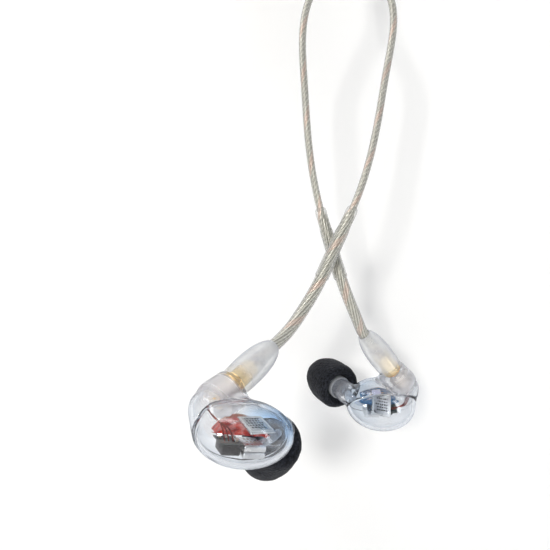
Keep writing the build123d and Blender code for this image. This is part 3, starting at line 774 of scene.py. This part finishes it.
def make_woofer(side):
    """Two steel cans with a seam between them, a raised lid, a spout and its solder pads."""
    (left, low, back), (right, high, front) = WOOFER
    seam = (low + high) / 2
    inset = 0.25
    cans = joined(block((left, low, back), (right, seam - SEAM, front), 0.28),
                  block((left, seam + SEAM, back), (right, high, front), 0.28),
                  block((left + inset, high - SEAM, back + inset),
                        (right - inset, high + 0.10, front - inset), 0.05),
                  block((right - 0.1, low + 1.05, back + 0.6), (right + 0.6, high - 0.1, -0.4), 0.2))
    fitted("woofer_driver", side, cans, STEEL, ["woofer_driver"])
    pads = []
    for row in range(2):
        for column in range(3):
            x = 0.45 + 0.75 * column
            z = -1.4 + 1.5 * row
            pads.append(block((x, high + 0.08, z), (x + 0.4, high + 0.14, z + 0.75), 0.02))
    fitted("woofer_terminals", side, joined(*pads), CHIP)


def tilted(mesh):
    """Turned to lie over the carrier, facing up and out."""
    lean, twist = math.radians(LID_LEAN), math.radians(LID_TWIST)
    spin = np.array(((math.cos(twist), math.sin(twist), 0),
                     (-math.sin(twist), math.cos(twist), 0),
                     (0, 0, 1)))
    turn = np.array(((1, 0, 0),
                     (0, math.cos(lean), math.sin(lean)),
                     (0, -math.sin(lean), math.cos(lean))))
    return np.array(mesh[0]) @ spin @ turn + LID_AT, mesh[1]


def make_lid(side):
    """A bright plate with a pale edge and rows of plain dashes."""
    h = LID_HALF
    plate = block((-h, -h, LID_TOP - 0.4), (h, h, LID_TOP), 0.12)
    fitted("driver_lid", side, tilted(plate), STEEL)
    e = h - 0.25
    low, high = LID_TOP - 0.02, LID_TOP + 0.05
    strips = ((-e, LID_EDGE - e), (e - LID_EDGE, e))
    edges = [block((-e, a, low), (e, b, high), 0.03) for a, b in strips]
    edges += [block((a, -e, low), (b, e, high), 0.03) for a, b in strips]
    fitted("driver_lid_edge", side, tilted(joined(*edges)), WHITE)
    rng = np.random.default_rng(3)
    dashes = []
    for row in range(DASH_ROWS):
        x = DASH_START
        y = 1.5 - DASH_PITCH * row
        while x < DASH_END:
            wide = rng.uniform(0.2, 0.5)
            dashes.append(block((x, y, low), (x + wide, y + DASH_PITCH / 2, LID_TOP + 0.03), 0.02))
            x += wide + rng.uniform(0.15, 0.35)
    fitted("driver_lid_print", side, tilted(joined(*dashes)), BLACK_CAN)


def make_tweeter(side):
    """A black can with two raised pads on its face."""
    (left, low, _), (right, _, front) = TWEETER
    pads = [block((x, low + 0.4, front - 0.1), (x + wide, low + 1.6, front + 0.2), 0.1)
            for x, wide in ((left + 0.4, 1.0), (right - 1.4, 0.9))]
    fitted("tweeter_driver", side, joined(block(*TWEETER, 0.3), *pads), BLACK_CAN,
           ["tweeter_driver"])


def make_board(side):
    """The crossover board with four small parts and their bright ends."""
    fitted("crossover_board", side, block(*BOARD_BOX, 0.06), BOARD, ["crossover_board"])
    top = BOARD_BOX[1][1]
    chips, ends = [], []
    for x, z in CHIP_PLACES:
        chips.append(block((x - 0.3, top, z - 0.48), (x + 0.3, top + 0.43, z + 0.48), 0.05))
        for way in (-1, 1):
            end = x + way * 0.38
            ends.append(block((end - 0.1, top, z - 0.5), (end + 0.1, top + 0.45, z + 0.5), 0.05))
    fitted("board_components", side, joined(*chips), CHIP, ["board_components"])
    fitted("board_component_ends", side, joined(*ends), SPRING)


def arch(outer, inner, z_low, z_high, start, end, steps=40):
    """A curved band: part of a ring between two angles, with a rounded section."""
    section = rounded([(outer, z_low), (outer, z_high), (inner, z_high), (inner, z_low)], 0.25, 3)
    points = []
    for i in range(steps + 1):
        angle = start + (end - start) * i / steps
        points += [(ARCH_CENTRE[0] + radius * math.cos(angle),
                    ARCH_CENTRE[1] + radius * math.sin(angle), z) for radius, z in section]
    return points, band(steps, len(section)).tolist() + caps(steps + 1, len(section))


def dome(reach, z_low, z_high, rise, steps=28, rings=10):
    """A thin half-round cap over the arch, a little raised in its middle."""
    points, faces = [], []
    for face_z in (z_low, z_high):
        for i in range(rings + 1):
            share = i / rings
            z = face_z + rise * (1 - share * share) ** 0.5 - rise * 0.35
            for k in range(steps + 1):
                angle = math.pi * k / steps
                x = ARCH_CENTRE[0] + reach * share * math.cos(angle)
                y = max(ARCH_FOOT_Y, ARCH_CENTRE[1] + reach * share * math.sin(angle))
                points.append((x, y, z))
    layer = (rings + 1) * (steps + 1)
    for i in range(rings):
        for k in range(steps):
            a = i * (steps + 1) + k
            quad = (a, a + 1, a + steps + 2, a + steps + 1)
            faces.append(quad)
            faces.append(tuple(layer + v for v in reversed(quad)))
    rim = rings * (steps + 1)
    for k in range(rim, rim + steps):
        faces.append((k, k + 1, layer + k + 1, layer + k))
    return points, faces


def make_carrier(side):
    """The tinted carrier: an arch with a cap, fine traces over it and a plain label."""
    start = math.asin((ARCH_FOOT_Y - ARCH_CENTRE[1]) / ARCH_R)
    end = math.pi - start
    points, faces = joined(
        arch(ARCH_R, ARCH_R - ARCH_THICK, ARCH_BACK_Z, ARCH_FRONT_Z, start, end),
        dome(ARCH_R - 0.1, ARCH_FRONT_Z - 0.45, ARCH_FRONT_Z, 0.9))
    spokes = points[:, :2] - ARCH_CENTRE
    uv = np.stack((np.arctan2(spokes[:, 1], spokes[:, 0]) * ARCH_R,
                   np.linalg.norm(spokes, axis=1) + points[:, 2]), -1)
    piece(f"driver_manifold_{side}_detail", (points, faces), TINTS[side], f"earpiece_{side}",
          [f"driver_manifold_{side}"], uv=uv, side=side)
    traces = [arch(ARCH_R + 0.07, ARCH_R - 0.01, z, z + 0.1, start + 0.1, end - 0.25 - 0.1 * i)
              for i, z in enumerate(np.arange(ARCH_BACK_Z + 0.2, ARCH_FRONT_Z - 0.2, TRACE_PITCH))]
    fitted("manifold_traces", side, joined(*traces), COPPER)
    label = arch(ARCH_R + 0.10, ARCH_R + 0.02, -2.7, -1.0, start + 0.55, start + 0.92)
    fitted("manifold_label", side, label, LABEL)


def make_sound_tube(side):
    """From the woofer's spout to the nozzle."""
    line = smooth_line([*SOUND_TUBE, NOZZLE_AT - SOUND_TUBE_END * NOZZLE_AXIS])
    fitted("sound_tube", side, tube(line, SOUND_TUBE_R)[:2], CLEAR_TUBE,
           ["sound_tube"], 60)


def make_jack(side):
    """Gold socket: a rolled rim, a barrel with turned rings, and the bore."""
    rim = [(SOCKET_BORE_R, -RIM_DEPTH), (RIM_R, -RIM_DEPTH), (RIM_R, -0.02), (SOCKET_BORE_R, -0.02)]
    rings = []
    for i in range(5):
        s = -1.3 - 0.7 * i
        groove = SOCKET_R - 0.1
        rings += [(SOCKET_R, s), (groove, s - 0.12), (groove, s - 0.28), (SOCKET_R, s - 0.40)]
    barrel = [(SOCKET_BORE_R, -CONTACT_DEPTH), (CONTACT_BORE_R, -CONTACT_DEPTH),
              (CONTACT_BORE_R, -SOCKET_DEPTH), (SOCKET_R, -SOCKET_DEPTH), *rings[::-1],
              (SOCKET_R, -RIM_DEPTH - 0.02), (SOCKET_BORE_R, -RIM_DEPTH - 0.02)]
    for name, outline, radius, look, nodes in (("jack_rim", rim, 0.08, GOLD, ()),
                                               ("jack_body", barrel, 0.06, PALE_METAL, ["jack_body"])):
        mesh = turned(rounded(outline, radius, 2), *CONNECTOR)
        fitted(name, side, mesh, look, nodes, 30)


# ---- ear sleeve ---------------------------------------------------------------------
CORE_R = 3.0
CORE_BORE_R = 2.55
RIPPLES = 40
RIPPLE_HEIGHT = 0.30
PORE_SIZE = 0.35
PORE_HEIGHT = 0.10


def rippled(points):
    """An uneven skin: the foam is cut and skinned, never perfectly round."""
    rng = np.random.default_rng(7)
    waves = rng.normal(0, 1, (RIPPLES, 3))
    phase = rng.uniform(0, 2 * math.pi, RIPPLES)
    ripple = np.sin(points @ waves.T * 1.4 + phase).sum(1) / RIPPLES
    offset = points - NOZZLE_AT
    radial = offset - np.outer(offset @ NOZZLE_AXIS, NOZZLE_AXIS)
    size = np.linalg.norm(radial, axis=1)[:, None]
    return points + radial / np.maximum(size, 1e-6) * (ripple * RIPPLE_HEIGHT)[:, None]


def make_sleeve(side):
    """A dome-nosed foam sleeve round a stiff core."""
    rear, front = FOAM_REAR, FOAM_LENGTH + FOAM_REAR
    outer = smooth_line([(4.6, rear), (5.35, rear + 0.25), (5.8, rear + 0.9), (FOAM_R, rear + 2.0),
                         (FOAM_R + 0.02, rear + 3.5), (FOAM_R, rear + 5.2), (5.72, rear + 7.4),
                         (5.05, rear + 9.6), (4.0, rear + 11.4), (2.9, front - 0.25), (2.4, front)], 6)
    inner = smooth_line([(2.1, front - 0.15), (2.05, front - 1.0), (2.1, CORE_LENGTH + rear + 0.4),
                         (3.0, CORE_LENGTH + rear), (3.05, rear + 5), (3.05, rear + 2.6),
                         (3.4, rear + 1.2), (4.1, rear + 0.25)], 6)
    points, faces = turned(np.vstack((outer, inner)), *NOZZLE, 160)
    foam = piece(f"foam_sleeve_{side}_soft", (rippled(points), faces), FOAM, f"sleeve_{side}",
                 [f"foam_sleeve_{side}"], None, side=side)
    pores = bpy.data.textures.new(f"pores_{side}", "CLOUDS")
    pores.noise_scale = PORE_SIZE * MM
    pores.noise_depth = 1
    lift = foam.modifiers.new("pores", "DISPLACE")
    lift.texture = pores
    lift.texture_coords = "LOCAL"
    lift.strength = PORE_HEIGHT * MM
    core = [(CORE_BORE_R, rear + 0.2), (CORE_R, rear + 0.2),
            (CORE_R, rear + CORE_LENGTH), (CORE_BORE_R, rear + CORE_LENGTH)]
    piece(f"sleeve_core_{side}_detail", turned(rounded(core, 0.15, 3), *NOZZLE), CORE,
          f"sleeve_{side}", [f"sleeve_core_{side}"], 40, side=side)


# ---- cable side ---------------------------------------------------------------------
PLUG_R = 2.0
PLUG_FLANGE_R = 2.25
PLUG_END = 6.0
PIN_R = 1.25
PIN_BORE_R = 0.85
WIRE_START = 5.9
WIRE_END = 11.6
WIRE_LAY = 6.5
WIRE_R = 0.22

LAY = 10.5
STRANDS = 12
SILVER_STRANDS = range(0, 9)
COPPER_STRANDS = range(9, STRANDS)
STRAND_SHIFT = 0.377

# The collar on a leg: distances from its top and the radius there.
COLLAR_RUN = (0, 0.35, 0.9, 2.2, 4.2, 6.5)
COLLAR_LIP = (1.0, 0.3, 0)
COLLAR_SIZES = (0.95, 1.22, 1.36, 1.34, 1.32, 1.52, 1.62, 1.66, 1.46)


def make_boot(side):
    """A milky strain relief, clear at its mouth, hollow for the plug."""
    outer = smooth_line([(2.85, 0.14), (3.03, 0.35), (3.10, 1.2), (3.22, 3.5), (3.27, 5.8), (3.20, 8.0),
                         (2.95, 10.2), (2.50, 12.1), (2.05, 13.3), (1.75, 13.85), (1.5, BOOT_LENGTH)])
    inner = [(1.42, BOOT_LENGTH - 0.1), (1.42, 11.0), (1.75, 8.6), (PLUG_R + 0.02, 6.4),
             (PLUG_R + 0.02, 1.14), (PLUG_FLANGE_R + 0.02, 1.14), (PLUG_FLANGE_R + 0.02, 0.14)]
    points, faces = turned(np.vstack((outer, inner)), *CONNECTOR, 96)
    boot = piece(f"boot_{side}_detail", (points, faces), BOOT, "harness",
                 [f"boot_{side}"], 40, unmapped(points), side)
    s, _ = axis_parts(points, *CONNECTOR)
    mark(boot, "haze", np.maximum(0.12, ramp(s, 0.9, 3.1)))


def make_plug_barrel(side):
    """The coaxial plug: pin with its snap groove, flange with a groove, and barrel."""
    barrel = [(PIN_BORE_R, -2.8), (PIN_R - 0.1, -2.8), (PIN_R, -2.7), (PIN_R, -2.36),
              (PIN_R - 0.25, -2.36), (PIN_R - 0.25, -1.84), (PIN_R, -1.84), (PIN_R, 0.12),
              (PLUG_FLANGE_R, 0.12), (PLUG_FLANGE_R, 0.50), (2.02, 0.56), (2.02, 0.66),
              (PLUG_FLANGE_R, 0.72), (PLUG_FLANGE_R, 1.12), (PLUG_R, 1.12),
              (PLUG_R, PLUG_END - 0.1), (PLUG_R - 0.1, PLUG_END), (PIN_BORE_R, PLUG_END)]
    piece(f"plug_barrel_{side}_detail", turned(rounded(barrel, 0.05, 2), *CONNECTOR), PALE_GOLD,
          "harness", [f"plug_barrel_{side}"], 30, side=side)


def make_boot_wires(side):
    """The strands spread out inside the boot before they reach the plug."""
    first, second = cross_ways(CONNECTOR_AXIS)
    s = np.linspace(WIRE_START, WIRE_END, 40)
    reach = 1.25 - 0.45 * ((s - 8.5) / 3.0) ** 2
    for kind, look, turns in (("copper", COPPER_STRAND, (0.0, 0.16, 0.5)),
                              ("dark", TINT_WIRE, (0.33, 0.78))):
        runs = []
        for turn in turns:
            angle = 2 * math.pi * (turn + (s - WIRE_START) / WIRE_LAY)
            line = (CONNECTOR_AT + np.outer(s, CONNECTOR_AXIS)
                    + np.outer(np.cos(angle) * reach, first) + np.outer(np.sin(angle) * reach, second))
            runs.append(tube(line, WIRE_R, 10)[:2])
        mesh = joined(*runs)
        piece(f"boot_{kind}_wires_{side}", mesh, look, "harness", (), 60,
              unmapped(mesh[0]), side)


def cubic_run(points, start_way, end_way, step=0.35):
    """A smooth curve through points with given end directions, sampled evenly."""
    points = np.array(points, float)
    gaps = np.linalg.norm(np.diff(points, axis=0), axis=1)
    count = len(points)
    matrix = np.zeros((count, count))
    right = np.zeros((count, 3))
    matrix[0, 0] = matrix[-1, -1] = 1
    right[0], right[-1] = unit(start_way), unit(end_way)
    for i in range(1, count - 1):
        matrix[i, i - 1:i + 2] = gaps[i], 2 * (gaps[i - 1] + gaps[i]), gaps[i - 1]
        right[i] = 3 * (gaps[i] / gaps[i - 1] * (points[i] - points[i - 1])
                        + gaps[i - 1] / gaps[i] * (points[i + 1] - points[i]))
    slopes = np.linalg.solve(matrix, right)
    dense = []
    for i, h in enumerate(gaps):
        steps = max(2, int(h / step))
        for k in range(steps):
            t = k / steps
            dense.append((2 * t ** 3 - 3 * t ** 2 + 1) * points[i]
                         + (t ** 3 - 2 * t ** 2 + t) * h * slopes[i]
                         + (3 * t ** 2 - 2 * t ** 3) * points[i + 1]
                         + (t ** 3 - t ** 2) * h * slopes[i + 1])
    dense.append(points[-1])
    return np.array(dense)


def straight(start, end, step=0.35):
    start, end = np.array(start, float), np.array(end, float)
    count = max(2, int(np.linalg.norm(end - start) / step))
    return start + np.linspace(0, 1, count + 1)[:, None] * (end - start)


def leg_line(side):
    """The middle of a cable leg, from inside the split down into its boot."""
    x = SPLIT_X + (LEG_SPREAD if side == "right" else -LEG_SPREAD)
    top = (x, 0, SPLIT_BOTTOM_Z + 3.0)
    bend = (x, 0, SLIDER_BOTTOM_Z - 1.0)
    ring = hung(CONNECTOR_AT, side)
    mouth = hung(CONNECTOR_AT + CONNECTOR_AXIS * BOOT_LENGTH, side)
    seat = hung(CONNECTOR_AT + CONNECTOR_AXIS * BOOT_SEAT, side)
    curve = cubic_run([bend, *LEG_POINTS[side], mouth], (0, 0, -1), ring - mouth)
    return np.vstack((straight(top, bend)[:-1], curve[:-1], straight(mouth, seat)))


def strand_set(line, reach, thickness, chosen, segments):
    """Some of the strands of a round twisted bundle, as one mesh."""
    across, other = carried(line)
    run = run_along(line)
    meshes, uvs = [], []
    for index in chosen:
        turn = 2 * math.pi * (run / LAY + index / STRANDS)
        centre = (line + across * (reach * np.cos(turn))[:, None]
                  + other * (reach * np.sin(turn))[:, None])
        points, faces, uv = tube(centre, thickness, segments)
        meshes.append((points, faces))
        uvs.append(uv + (index * STRAND_SHIFT, 0))
    return joined(*meshes), np.vstack(uvs)


def make_bundle(name, line, reach, thickness, nodes, segments=7):
    """Twisted conductors: many silvery strands and a few copper ones round a dark tube, painted shade
    between the strands.
    """
    for kind, chosen, look, stands_for in (("silver", SILVER_STRANDS, SILVER_STRAND, nodes),
                                           ("copper", COPPER_STRANDS, COPPER_STRAND, ())):
        mesh, uv = strand_set(line, reach, thickness, chosen, segments)
        piece(f"{name}_{kind}", mesh, look, "harness", stands_for, None, uv)
    # Painted shade: a dark tube inside the strands darkens the gaps between them.
    core = tube(line, np.array(reach) * 0.8, 10)[:2]
    piece(f"{name}_core", core, STRAND_SHADE, "harness", smooth_angle=None)


def make_leg(side):
    """A cable leg: thin jacket, collar, wider ear wire and the conductors inside."""
    line = leg_line(side)
    top, step, end = (int(np.argmax(line[:, 2] <= z))
                      for z in (COLLAR_TOP_Z, COLLAR_STEP_Z, COLLAR_END_Z))
    collar = line[top:end + 1]
    run = run_along(collar)
    marks = [*COLLAR_RUN, *(run[-1] - back for back in COLLAR_LIP)]
    for name, part, radius, segments, angle in (
            ("leg_jacket", line[:top + 3], LEG_R, 28, 60),
            ("ear_wire_tube", line[step:], EAR_WIRE_R, 36, 60),
            ("leg_collar", collar, np.interp(run, marks, COLLAR_SIZES), 36, 50)):
        piece(f"{name}_{side}_clear", tube(part, radius, segments)[:2], JACKET, "harness",
              [f"{name}_{side}"], angle)
    run = run_along(line)
    share = ramp(run, run[top] + 0.5, run[top] + 2.9)
    share = share * share * (3 - 2 * share)
    make_bundle(f"conductors_{side}", line, 0.57 + 0.38 * share, 0.175 + 0.105 * share,
                [f"leg_conductors_{side}"])


def coil_line(step=0.6):
    """The main cable: up from the split, round its coil and down to the plug."""
    slope = COIL_PITCH / (2 * math.pi * COIL_R)
    start = np.array((SPLIT_X, 0, SPLIT_BOTTOM_Z + 7.0))
    drift = (COIL_Z - start[2]) * slope
    count = int(2 * math.pi * COIL_R * COIL_TURNS / step)
    angle = np.linspace(0, 2 * math.pi * COIL_TURNS, count)
    coil = np.stack((SPLIT_X - COIL_R + COIL_R * np.cos(angle),
                     drift + COIL_PITCH * angle / (2 * math.pi),
                     COIL_Z + COIL_R * np.sin(angle)), -1)
    way = unit((0, slope, -1))
    return np.vstack((straight(start, coil[0], step)[:-1], coil[:-1],
                      straight(coil[-1], coil[-1] + way * (DROP + TAIL), step))), way


def make_main():
    """The main cable. Returns where its plug starts, and the plug's way."""
    line, way = coil_line()
    piece("main_jacket_clear", tube(line, MAIN_R, 20)[:2], JACKET, "harness",
          ["main_jacket"], 60)
    make_bundle("main_conductors", line, 0.74, 0.22, ["main_conductors"], 6)
    return line[-1] - way * TAIL, way


# ---- stereo plug ----------------------------------------------------------------------
PIN_SIZE = 1.75
PIN_CORE = 0.95
HOUSING_R = 3.1
HOUSING_LENGTH = 15.0
RELIEF_LENGTH = 8.0
RELIEF_BORE = 1.9
CABLE_BORE = 1.2


def make_plug(at, way):
    """Stereo plug: ribbed relief, knurled housing and the banded pin."""
    body = TAIL + RELIEF_LENGTH
    nose = body + HOUSING_LENGTH

    relief = [(CABLE_BORE, 0), (RELIEF_BORE, 0)]
    for i in range(6):
        s = 0.8 + 1.3 * i
        wide = 2.1 + 0.09 * i
        relief += [(wide + 0.12, s), (wide + 0.14, s + 0.75), (wide - 0.25, s + 0.85),
                   (wide - 0.22, s + 1.2)]
    relief += [(2.68, body), (RELIEF_BORE, body), (RELIEF_BORE, TAIL), (CABLE_BORE, TAIL)]

    r = HOUSING_R
    housing = [(RELIEF_BORE, body), (r - 0.1, body), (r, body + 0.5)]
    for i in range(8):
        s = body + 3.0 + 0.9 * i
        housing += [(r, s), (r - 0.12, s + 0.15), (r - 0.12, s + 0.35), (r, s + 0.5)]
    housing += [(r, nose - 1.2), (2.5, nose), (CABLE_BORE, nose), (CABLE_BORE, nose - 4),
                (RELIEF_BORE, nose - 4)]

    r = PIN_SIZE
    sleeve = [(PIN_CORE, nose - 3), (CABLE_BORE, nose - 3), (CABLE_BORE, nose), (2.3, nose),
              (2.3, nose + 0.6), (r, nose + 0.6), (r, nose + 6.4), (PIN_CORE, nose + 6.4)]
    ring = [(0.7, nose + 6.8), (r, nose + 6.8), (r, nose + 9.0), (0.7, nose + 9.0)]
    tip = [(0, nose - 4), (0.45, nose - 4), (0.45, nose + 9.4), (r, nose + 9.4), (r, nose + 10.6),
           (1.2, nose + 11.2), (1.65, nose + 12.4), (0.3, nose + 14.0), (0, nose + 14.0)]

    for name, outline, look, slot, radius in (("strain_relief", relief, RUBBER, "black_rubber", 0.06),
                                              ("plug_housing", housing, HOUSING, "housing_metal", 0.06),
                                              ("plug_sleeve", sleeve, GOLD, "gold", 0.05),
                                              ("plug_ring", ring, GOLD, "gold", 0.05),
                                              ("plug_tip", tip, GOLD, "gold", 0.18)):
        mesh = turned(rounded(outline, radius, 3), at, way)
        piece(f"{name}_detail", mesh, look, "harness", [name], 32).visible_shadow = False


# ---- CAD pieces that keep their shape -------------------------------------------------
KEPT_ON_SIDES = {
    "jack_insulator": WHITE, "jack_contact": GOLD, "wax_guard": MESH_STEEL, "snap_ring": SPRING,
    "plug_insulator": WHITE, "plug_pin": GOLD, "earpiece_wires": ENAMEL, "memory_wire": SPRING,
}
KEPT = {"cable_slider": JACKET, "y_split": SPLIT, "plug_insulators": BLACK_BAND}


def finish_kept():
    """Gives the CAD nodes that stay their materials."""
    looks = dict(KEPT)
    for name, look in KEPT_ON_SIDES.items():
        looks.update({f"{name}_{side}": look for side in HANG})
    for name, look in looks.items():
        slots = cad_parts[name].data.materials
        slots.clear()
        slots.append(look)
    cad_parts["plug_insulators"].visible_shadow = False


# ---- stage --------------------------------------------------------------------------
BACKDROP_Y = 40.0
FLOOR_Z = -62.0
COVE_R = 14.0
COVE_STEPS = 12
STAGE_REACH = 700.0
MIDDLE = (0, 0, 60)
LIGHTS = {
    # name: place, width and height in millimetres, watts, colour
    "key": ((-240, -585, 190), (110, 110), 2.15, (1.0, 0.99, 0.97)),
    "top_strip": ((-60, -120, 420), (300, 60), 0.35, (1.0, 1.0, 1.0)),
    "right_strip": ((330, -160, 60), (40, 300), 0.2, (0.95, 0.97, 1.0)),
}


def stage_material():
    """A white sweep that glows a little, and can't be seen from behind."""
    made, tree = material("sweep")
    glow = node(tree, "Emission", Color=(0.985, 0.99, 1.0), Strength=0.145)
    dull = node(tree, "BsdfDiffuse", Color=(0.86, 0.855, 0.84))
    behind = node(tree, "NewGeometry").outputs["Backfacing"]
    return finished(made, layered(tree, behind, node(tree, "AddShader", glow, dull),
                                  node(tree, "BsdfTransparent")))


def make_stage():
    """A floor that curves up into a backdrop."""
    profile = [(-STAGE_REACH, FLOOR_Z)]
    for i in range(COVE_STEPS + 1):
        angle = math.pi / 2 * i / COVE_STEPS
        profile.append((BACKDROP_Y - COVE_R + COVE_R * math.sin(angle),
                        FLOOR_Z + COVE_R - COVE_R * math.cos(angle)))
    profile.append((BACKDROP_Y, STAGE_REACH))
    points = [(x * MM, y * MM, z * MM) for y, z in profile for x in (-STAGE_REACH, STAGE_REACH)]
    faces = [(2 * i, 2 * i + 1, 2 * i + 3, 2 * i + 2) for i in range(len(profile) - 1)]
    mesh = bpy.data.meshes.new("sweep")
    mesh.from_pydata(points, [], faces)
    mesh.polygons.foreach_set("use_smooth", [True] * len(faces))
    mesh.materials.append(stage_material())
    obj = bpy.data.objects.new("sweep", mesh)
    bpy.context.scene.collection.objects.link(obj)


def placed(name, data, at, target):
    """A light or camera at a place in millimetres, aimed at another."""
    obj = bpy.data.objects.new(name, data)
    obj.location = Vector(at) * MM
    obj.rotation_mode = "QUATERNION"
    obj.rotation_quaternion = (Vector(target) * MM - obj.location).to_track_quat("-Z", "Y")
    bpy.context.scene.collection.objects.link(obj)
    return obj


def make_lights():
    for name, (at, size, power, colour) in LIGHTS.items():
        data = bpy.data.lights.new(name, "AREA")
        data.shape = "RECTANGLE"
        data.size, data.size_y = size[0] * MM, size[1] * MM
        data.energy = power
        data.color = colour
        placed(name, data, at, MIDDLE).visible_camera = False


def make_world():
    """A soft sky for reflections: paler above, darker at the sides and in front."""
    world = bpy.data.worlds.new("studio")
    bpy.context.scene.world = world
    world.use_nodes = True
    tree = world.node_tree
    tree.nodes.clear()
    way = node(tree, "SeparateXYZ", node(tree, "TexCoord").outputs["Generated"]).outputs
    height = spread(tree, way["Z"], 0.0, 1.0, -0.3, 0.8)
    sky = mixed(tree, height, (0.13, 0.14, 0.17), (0.66, 0.67, 0.70))
    side = reckoned(tree, "MAXIMUM", way["X"], reckoned(tree, "MULTIPLY", way["X"], -0.75))
    sky = mixed(tree, spread(tree, side, 0.0, 0.92, 0.30, 0.72), sky, (0.06, 0.07, 0.10))
    front = spread(tree, way["Y"], 0.85, 0.0, -0.95, -0.20)
    sky = mixed(tree, front, sky, (0.07, 0.075, 0.09))
    seen = node(tree, "LightPath").outputs["Is Camera Ray"]
    shown = mixed(tree, seen, sky, (0.93, 0.935, 0.945))
    node(tree, "OutputWorld", node(tree, "Background", shown, 1.0))


def make_camera():
    data = bpy.data.cameras.new("camera")
    data.sensor_width = SENSOR
    data.lens = SENSOR / 2 * CAMERA_DISTANCE / CAMERA_HALF_WIDTH
    data.clip_start = 0.005
    at = SHIFT + (0, -CAMERA_DISTANCE, 0)
    bpy.context.scene.camera = placed("camera", data, at, SHIFT)


# ---- put it together ----------------------------------------------------------------
make_shells()
for ear in HANG:
    for make in (make_woofer, make_lid, make_tweeter, make_board, make_carrier, make_sound_tube,
                 make_jack, make_sleeve, make_boot, make_plug_barrel, make_boot_wires, make_leg):
        make(ear)
make_plug(*make_main())
finish_kept()
make_stage()
make_lights()
make_world()
make_camera()
bpy.context.scene.view_settings.view_transform = "Standard"
